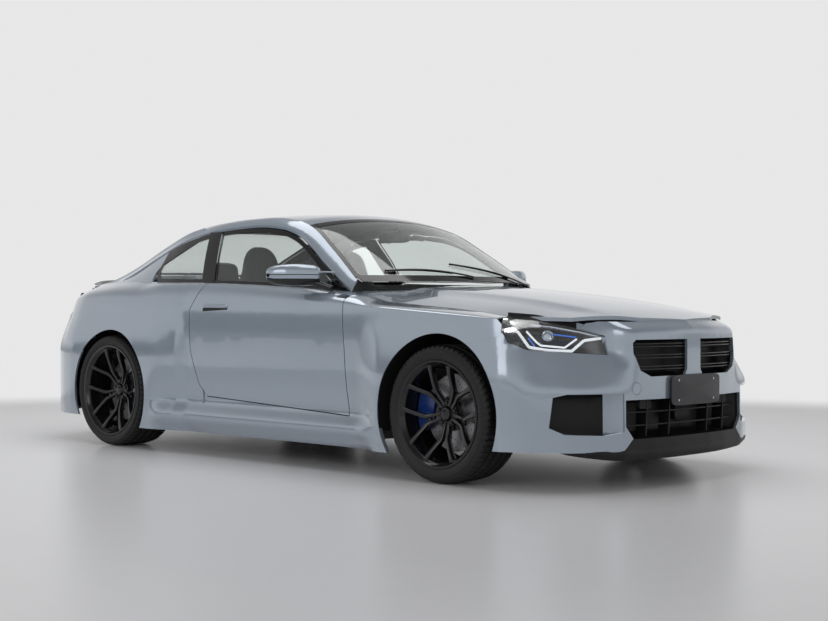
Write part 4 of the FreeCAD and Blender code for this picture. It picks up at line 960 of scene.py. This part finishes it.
addPiece("intakeSill", [intakeSillForm()], "satinBlack")
addPiece("kidneySlats", bothSides(slatForms()), "pianoBlack")
addPiece("frontSplitter", [splitterForm()], "satinBlack")
addPiece("kidneyBowls", bothSides([bowlForm("kidney")]), "satinBlack")
addPiece("intakeBowls", [bowlForm("lower")] + finForms() + bothSides([bowlForm("side")]), "satinBlack")
addPiece("intakeDucts", bothSides(ductForms()), "bluePaint")
addPiece("radarBox", [plateForm(name) for name in ("radar", "sensorRight", "sensorLeft")], "mouldedPlastic")
addPiece("frontPlate", [plateForm("plate")], "plateGrey")
addPiece("plateHolder", [plateForm("holder")], "mouldedPlastic")
addPiece("plateScrews", [screwForm(place, 6) for place in nose["screwsAt"]], "chromeSteel")
addPiece("noseMarks", [circleOnNose(*nose["towCover"])], "shadeAndSeamBlack")


# Tail: curtains behind the rear wheels, lip on the boot lid, diffuser with fins, four exhaust tips with a
# dark disc painted deep in each as the shade inside the pipe, and closing panels above the lamps
tail = {"lipHalf": 565, "lipLine": [(0, -2136), (250, -2112), (480, -2040), (600, -1975)],
        "lip": [(46, -2), (20, 9), (-14, 27), (-24, 29), (-22, 20), (-6, 2), (4, -6)],
        "diffuserHalf": [(188, 500), (352, 545)], "finsAt": (-210, -70, 70, 210), "tipsAt": (352, 470),
        "tipZ": 292, "tip": [(30, 40), (-28, 43.5), (-31, 46), (-29, 48.5), (-10, 49), (60, 47)],
        "boreShade": [(-6, 0.5), (-6, 42), (4, 42), (4, 0.5)]}


def curtainForm():
    y, z = grid((520, 852, 12), (215, 640, 12))
    return slab(at(-1765 - 0.1 * (z - 215), y, z), (-4, 0, 0))


def lipForm():
    section, s = np.array(tail["lip"], float), np.linspace(-1, 1, 61)[:, None]
    y = tail["lipHalf"] * s
    x = lineAt(tail["lipLine"], np.abs(y)) + section[:, 0]
    return tube(at(x, y, topZ(x[:, :1], y) + 3 + section[:, 1] * (1 - 0.8 * np.abs(s) ** 8)))


def diffuserForms():
    s, z = grid((-1, 1, 49), (188, 352, 9))
    y = s * straight(tail["diffuserHalf"], z)
    forms = [slab(at(tailX(y, z) - 4, y, z), (3, 0, 0))]
    for y in tail["finsAt"]:
        t, w = grid((0, 1, 8), (0, 1, 4))
        z = 186 + 120 * t
        forms.append(slab(at(tailX(y, z) - 5 - 26 * w * (1 - t), y - 3, z), (0, 6, 0)))
    return forms


def tipForms(profile):
    # Profile points (distance along the car, radius) turn about each tip's own line
    x, r = np.array(profile, float).T
    turn, z = circle(48)[:, None], tail["tipZ"]
    return [tube(at(tailX(y, z) + x, y + r * np.cos(turn), z + r * np.sin(turn)), "loop")
            for y in tail["tipsAt"]]


def tailPanelForm():
    y, z = grid((612, 735, 12), (893, 940, 8))
    return slab(at(tailX(y, z) + 14, y, z), (4, 0, 0))


def sillCornerForm():
    z, t = grid((303, 404, 10), (0, 1, 8))
    front = straight([(303, -400), (344, -410), (404, -474)], z)
    x = front + (-560 - front) * t
    return slab(at(x, sideY(x, z) - 6, z), (0, -3, 0))


addPiece("rearCurtains", bothSides([curtainForm()]), "mouldedPlastic")
addPiece("bootLip", [lipForm()], "pianoBlack", "boot_lid")
addPiece("rearDiffuser", diffuserForms(), "satinBlack")
addPiece("exhaustTips", bothSides(tipForms(tail["tip"])), "chromeSteel")
# Dark discs a little inside the tips, painted as the shade deep in the pipes
addPiece("exhaustBoreShade", bothSides(tipForms(tail["boreShade"])), "shadeAndSeamBlack")
addPiece("tailPanels", bothSides([tailPanelForm()]), "bluePaint")
addPiece("sillCorners", bothSides([sillCornerForm()]), "bluePaint")


# Door mirrors: painted upper shell over a dark slit, black lower shell, silvered glass and stalk
mirror = {"y": [812, 818, 850, 920, 985, 1020, 1031], "x": [446, 443, 432, 396, 348, 318, 308],
          "long": [30, 46, 63, 69, 61, 38, 17], "high": [26, 44, 55, 59, 53, 38, 16], "z": 1024,
          "glassCentre": (312, 926, 1022), "glassAlong": (-110, 245, 0), "glassBack": (-245, -110, 0),
          "stalk": [(560, 800, 953), (520, 822, 966), (470, 845, 985), (440, 862, 1002)],
          "fin": [(470, 830, 1040), (505, 800, 1040), (545, 765, 1038)]}


def mirrorShell(low, high, grow=0.0):
    # Superelliptic rings at each station, cut by two levels and by the flat plane of the glass
    y = np.linspace(mirror["y"][0], mirror["y"][-1], 30)[:, None]
    x, long, tall = (lineAt(list(zip(mirror["y"], mirror[k])), y) for k in ("x", "long", "high"))
    ring = roundedBar(1, 1, 56, 3.0)
    cut = 372 - (y - 800) * 110 / 245
    return tube(at(np.maximum(x + (long + grow) * ring[:, 0], cut), y,
                   mirror["z"] + np.clip((tall + grow) * ring[:, 1], low, high)))


def mirrorGlassForm():
    ring = roundedBar(92, 46, 48, 3.4)
    centre, along, back = (np.array(mirror[k], float) for k in ("glassCentre", "glassAlong", "glassBack"))
    face = centre + ring[:, :1] * unit(along) + ring[:, 1:] * np.array([0, 0, 1.0])
    back = unit(back)
    return tube(np.stack([face - back * 2, face + back * 3, face * 0.97 + centre * 0.03 + back * 3.6]))


for hand in ("left", "right"):
    body = "door_" + hand
    stalk = rod(resampled(mirror["stalk"], 16, True), (0, 0.3, 1), 26, 14, 16, 3)
    fin = rod(resampled(mirror["fin"], 12, True), (0, 0, 1), 20, 5, 14, 3)
    addPiece("mirrorShell_" + hand, onSide(hand, [mirrorShell(4, 90), mirrorShell(-20, 0), fin]), "bluePaint",
             body, replaces=["door_mirror_" + hand])
    addPiece("mirrorBase_" + hand, onSide(hand, [mirrorShell(-90, -22), mirrorShell(-22, 6, -5), stalk]),
             "pianoBlack", body)
    addPiece("mirrorGlass_" + hand, onSide(hand, [mirrorGlassForm()]), "mirrorSilver", body)


# Doors: a flush handle, rounded off at its ends, over a dark sheet painted on the door as the shadow in the
# recess below it
handle = {"line": [(-437, 858.5), (-217, 856.5)], "z": 858, "out": 1.5, "halfWidth": 11.5, "halfHeight": 8}


def handleForm():
    x = np.linspace(handle["line"][0][0], handle["line"][1][0], 40)
    path = at(x, sideY(x, handle["z"]) + handle["out"], straight(handle["line"], x))
    taper = np.sqrt(np.maximum(1 - np.abs(np.linspace(-1, 1, 40)) ** 14, 0.05))
    ring = alongPath(path, (0, 1, 0), roundedBar(handle["halfWidth"], handle["halfHeight"], 16, 3))
    return tube(path[:, None] + (ring - path[:, None]) * taper[:, None, None])


# A dark sheet lying on the door under the handle, painted as the shadow in the handle's recess
def handleShadowForm():
    x, t = grid((-438, -218, 40), (0, 1, 6))
    z = 847 - (20 - 10 * (x + 438) / 220) * t
    return slab(at(x, sideY(x, z) + 0.9, z), (0, -3, 0))


for hand in ("left", "right"):
    addPiece("handle_" + hand, onSide(hand, [handleForm()]), "bluePaint", "door_" + hand)
    # The recess shadow under the handle, painted as a dark sheet
    addPiece("handleShadow_" + hand, onSide(hand, [handleShadowForm()]), "satinBlack", "door_" + hand)


# Shoulder corners ahead of the doors, between fender, cowl and pillar
def cornerForm():
    x, t = grid((735, 652, 10), (0, 1, 8))
    outer = at(x, bodyLine("edgeY", x) + 30, bodyLine("edgeZ", x) - 9)
    inner = at(x, bodyLine("cornerY", x) - 16, bodyLine("edgeZ", x) + 1)
    return slab(outer + (inner - outer) * t[..., None] - (0, 0, 6), (0, 0, -4))


addPiece("shoulderCorners", bothSides([cornerForm()]), "bluePaint")


# Wipers lie on the foot of the windscreen: arms from (x, y) to (x, y), each with its blade just behind
wiperLines = (((900, 400), (770, -80)), ((905, -60), (705, -520)))


def wiperForms():
    forms = []
    for start, end in wiperLines:
        x, y = np.linspace(start, end, 40).T
        arm = at(x, y, topZ(x, y) + 9 + 3 * np.sin(np.linspace(0, math.pi, 40)))
        forms.append(rod(arm, (0.4, 0, 1), 9, 3.5, 10))
        x, y = x[8:] - 12, y[8:] - 20
        forms.append(rod(at(x, y, topZ(x, y) + 7), (0.4, 0, 1), 4, 5, 10))
    return forms


addPiece("wipers", wiperForms(), "satinBlack")
print("outside details done")


# Seats: crowned cushions along a path in (x, z), with raised bolsters, sewn channels and tapered ends
seats = {"frontY": 370, "rearY": 285, "fill": 0.85,
         "frontBack": {"path": [(-325, 350), (-385, 560), (-470, 830), (-530, 1010), (-556, 1212)],
                       "normal": (1, 0, 0.3), "width": [(0, 205), (0.25, 228), (0.62, 236), (0.74, 175),
                                                        (0.84, 128), (1, 108)],
                       "depth": [(0, 60), (0.5, 62), (0.8, 52), (1, 46)], "bolster": 42,
                       "channels": (0.16, 0.26, 0.36, 0.46, 0.56)},
         "frontBase": {"path": [(-345, 350), (-150, 340), (40, 352), (150, 344), (178, 300)],
                       "normal": (0, 0, 1), "width": [(0, 215), (0.5, 228), (1, 216)],
                       "depth": [(0, 50), (0.6, 60), (1, 50)], "bolster": 34,
                       "channels": (0.28, 0.42, 0.56, 0.7)},
         "rearBack": {"path": [(-925, 440), (-962, 640), (-985, 900)], "normal": (1, 0, 0.2),
                      "width": [(0, 255), (1, 245)], "depth": [(0, 42), (1, 34)], "bolster": 24,
                      "channels": (0.3, 0.45, 0.6, 0.75)},
         "rearBase": {"path": [(-930, 430), (-760, 425), (-610, 430), (-580, 400)], "normal": (0, 0, 1),
                      "width": [(0, 255), (1, 255)], "depth": [(0, 50), (1, 48)], "bolster": 20,
                      "channels": (0.3, 0.5, 0.7)},
         "headRest": {"path": [(-1000, 900), (-1006, 1010), (-1012, 1130)], "normal": (1, 0, 0),
                      "width": [(0, 90), (0.4, 122), (1, 110)], "depth": [(0, 30), (1, 34)], "bolster": 6,
                      "channels": (), "seam": 0.8, "count": 28},
         "foot": [(208, 190, 160), (214, 200, 165), (290, 185, 170), (300, 180, 160)]}


def cushionForm(name, y):
    s = seats[name]
    count, seam = s.get("count", 56), s.get("seam", 0.62)
    t = np.linspace(0, 1, count)
    points = resampled([(x, y, z) for x, z in s["path"]], count, True)
    close = np.sqrt(np.maximum(1 - np.abs(2 * t - 1) ** 9, 0.02))
    section = roundedBar(1, 1, 44, 3.0)
    u, facing = section[None, :, 0], np.maximum(section[None, :, 1], 0)
    rows = sum((np.exp(-((t[:, None] - c) / 0.011) ** 2) for c in s["channels"]), 0 * t[:, None])
    inside = 1 / (1 + np.exp((np.abs(u) - seam) * 60))
    relief = facing * (s["bolster"] * (np.abs(u) ** 2.2 - 0.3) - 5 * rows * inside
                       - 5 * np.exp(-((np.abs(u) - seam) / 0.035) ** 2))
    tangent, normal = unit(np.gradient(points, axis=0)), np.array(s["normal"], float)
    up = unit(normal - tangent * (tangent @ normal)[:, None])
    wide = u * (straight(s["width"], t) * (0.25 + 0.75 * close))[:, None]
    lift = section[None, :, 1] * (straight(s["depth"], t) * close)[:, None] + relief * close[:, None]
    across = np.cross(tangent, up)
    return tube(points[:, None] + across[:, None] * wide[..., None] + up[:, None] * lift[..., None])


def seatFootForm(y):
    ring = roundedBar(1, 1, 24, 6)
    return tube(np.stack([at(-110 + a * ring[:, 0], y + b * ring[:, 1], z) for z, a, b in seats["foot"]]))


for hand, side in (("left", 1), ("right", -1)):
    front = [cushionForm(name, side * seats["frontY"]) for name in ("frontBack", "frontBase")]
    rear = [cushionForm(name, side * seats["rearY"]) for name in ("rearBack", "rearBase", "headRest")]
    rearNodes = ["rear_seat"] if side > 0 else []
    for name, forms, nodes in (("frontSeat_", front, ["seat_" + hand]), ("rearSeat_", rear, rearNodes)):
        seat = addPiece(name + hand, forms, "seatLeather", levels=1, replaces=nodes, sharp=60)
addPiece("seatFeet", [seatFootForm(side * seats["frontY"]) for side in (1, -1)], "mouldedPlastic")


# Cabin: inside mirror, console, tray under the wipers, display, and a red mark on the steering wheel
cabin = {"mirrorX": 236, "mirrorZ": 1262, "mirrorStem": [(240, 0, 1270), (256, 0, 1305), (262, 0, 1322)],
         "mirrorSteps": [(-14, 0.9), (-10, 1.0), (4, 0.97), (12, 0.8)],
         "console": [(-100, 210), (-100, 500), (-88, 522), (0, 530), (88, 522), (100, 500), (100, 210)],
         "consoleTop": [(-430, 20), (-180, 22), (120, -12), (380, 40), (520, 110)],
         "wheelCentre": (330, 370, 800), "wheelRadius": 185, "wheelLean": 24}


def insideMirrorForms():
    ring, (shift, share) = roundedBar(126, 33, 40, 3.2), np.array(cabin["mirrorSteps"]).T[..., None]
    head = at(cabin["mirrorX"] + shift, share * ring[:, 0], cabin["mirrorZ"] + share * ring[:, 1])
    return [tube(head), rod(resampled(cabin["mirrorStem"], 8, True), (1, 0, 0), 9, 9, 12, 2)]


def consoleForm():
    across, height = np.array(cabin["console"], float).T
    x = np.linspace(-430, 520, 40)[:, None]
    return tube(at(x, across, height + (height > 300) * lineAt(cabin["consoleTop"], x)))


def cowlForm():
    t, s = grid((0, 1, 8), (-1, 1, 41))
    x, y = screenFoot(640 * s) + 22 - 60 * t, 640 * s
    return slab(at(x, y, topZ(x, y) - 26 - 10 * t), (0, 0, -4))


def displayForm():
    t, y = grid((0, 1, 6), (-150, 570, 40))
    return slab(at(452 + 22 * t + 0.00011 * (y - 210) ** 2, y, 866 + 118 * t), (9, 0, 0))


def wheelMarkForm():
    turn, lean = np.linspace(-0.09, 0.09, 8)[:, None], math.radians(cabin["wheelLean"])
    up = np.array([math.sin(lean), 0, math.cos(lean)])
    around = np.cos(turn) * up + np.sin(turn) * np.array([0, 1.0, 0])
    return rod(cabin["wheelCentre"] + cabin["wheelRadius"] * around, up, 17.5, 17.5, 20, 2)


addPiece("insideMirror", insideMirrorForms(), "mouldedPlastic")
addPiece("centreConsole", [consoleForm()], "mouldedPlastic")
addPiece("cowlTray", [cowlForm()], "satinBlack")
addPiece("displayPanel", [displayForm()], "pianoBlack")
addPiece("wheelMark", [wheelMarkForm()], "redMark", "steering_wheel")
print("cabin done")
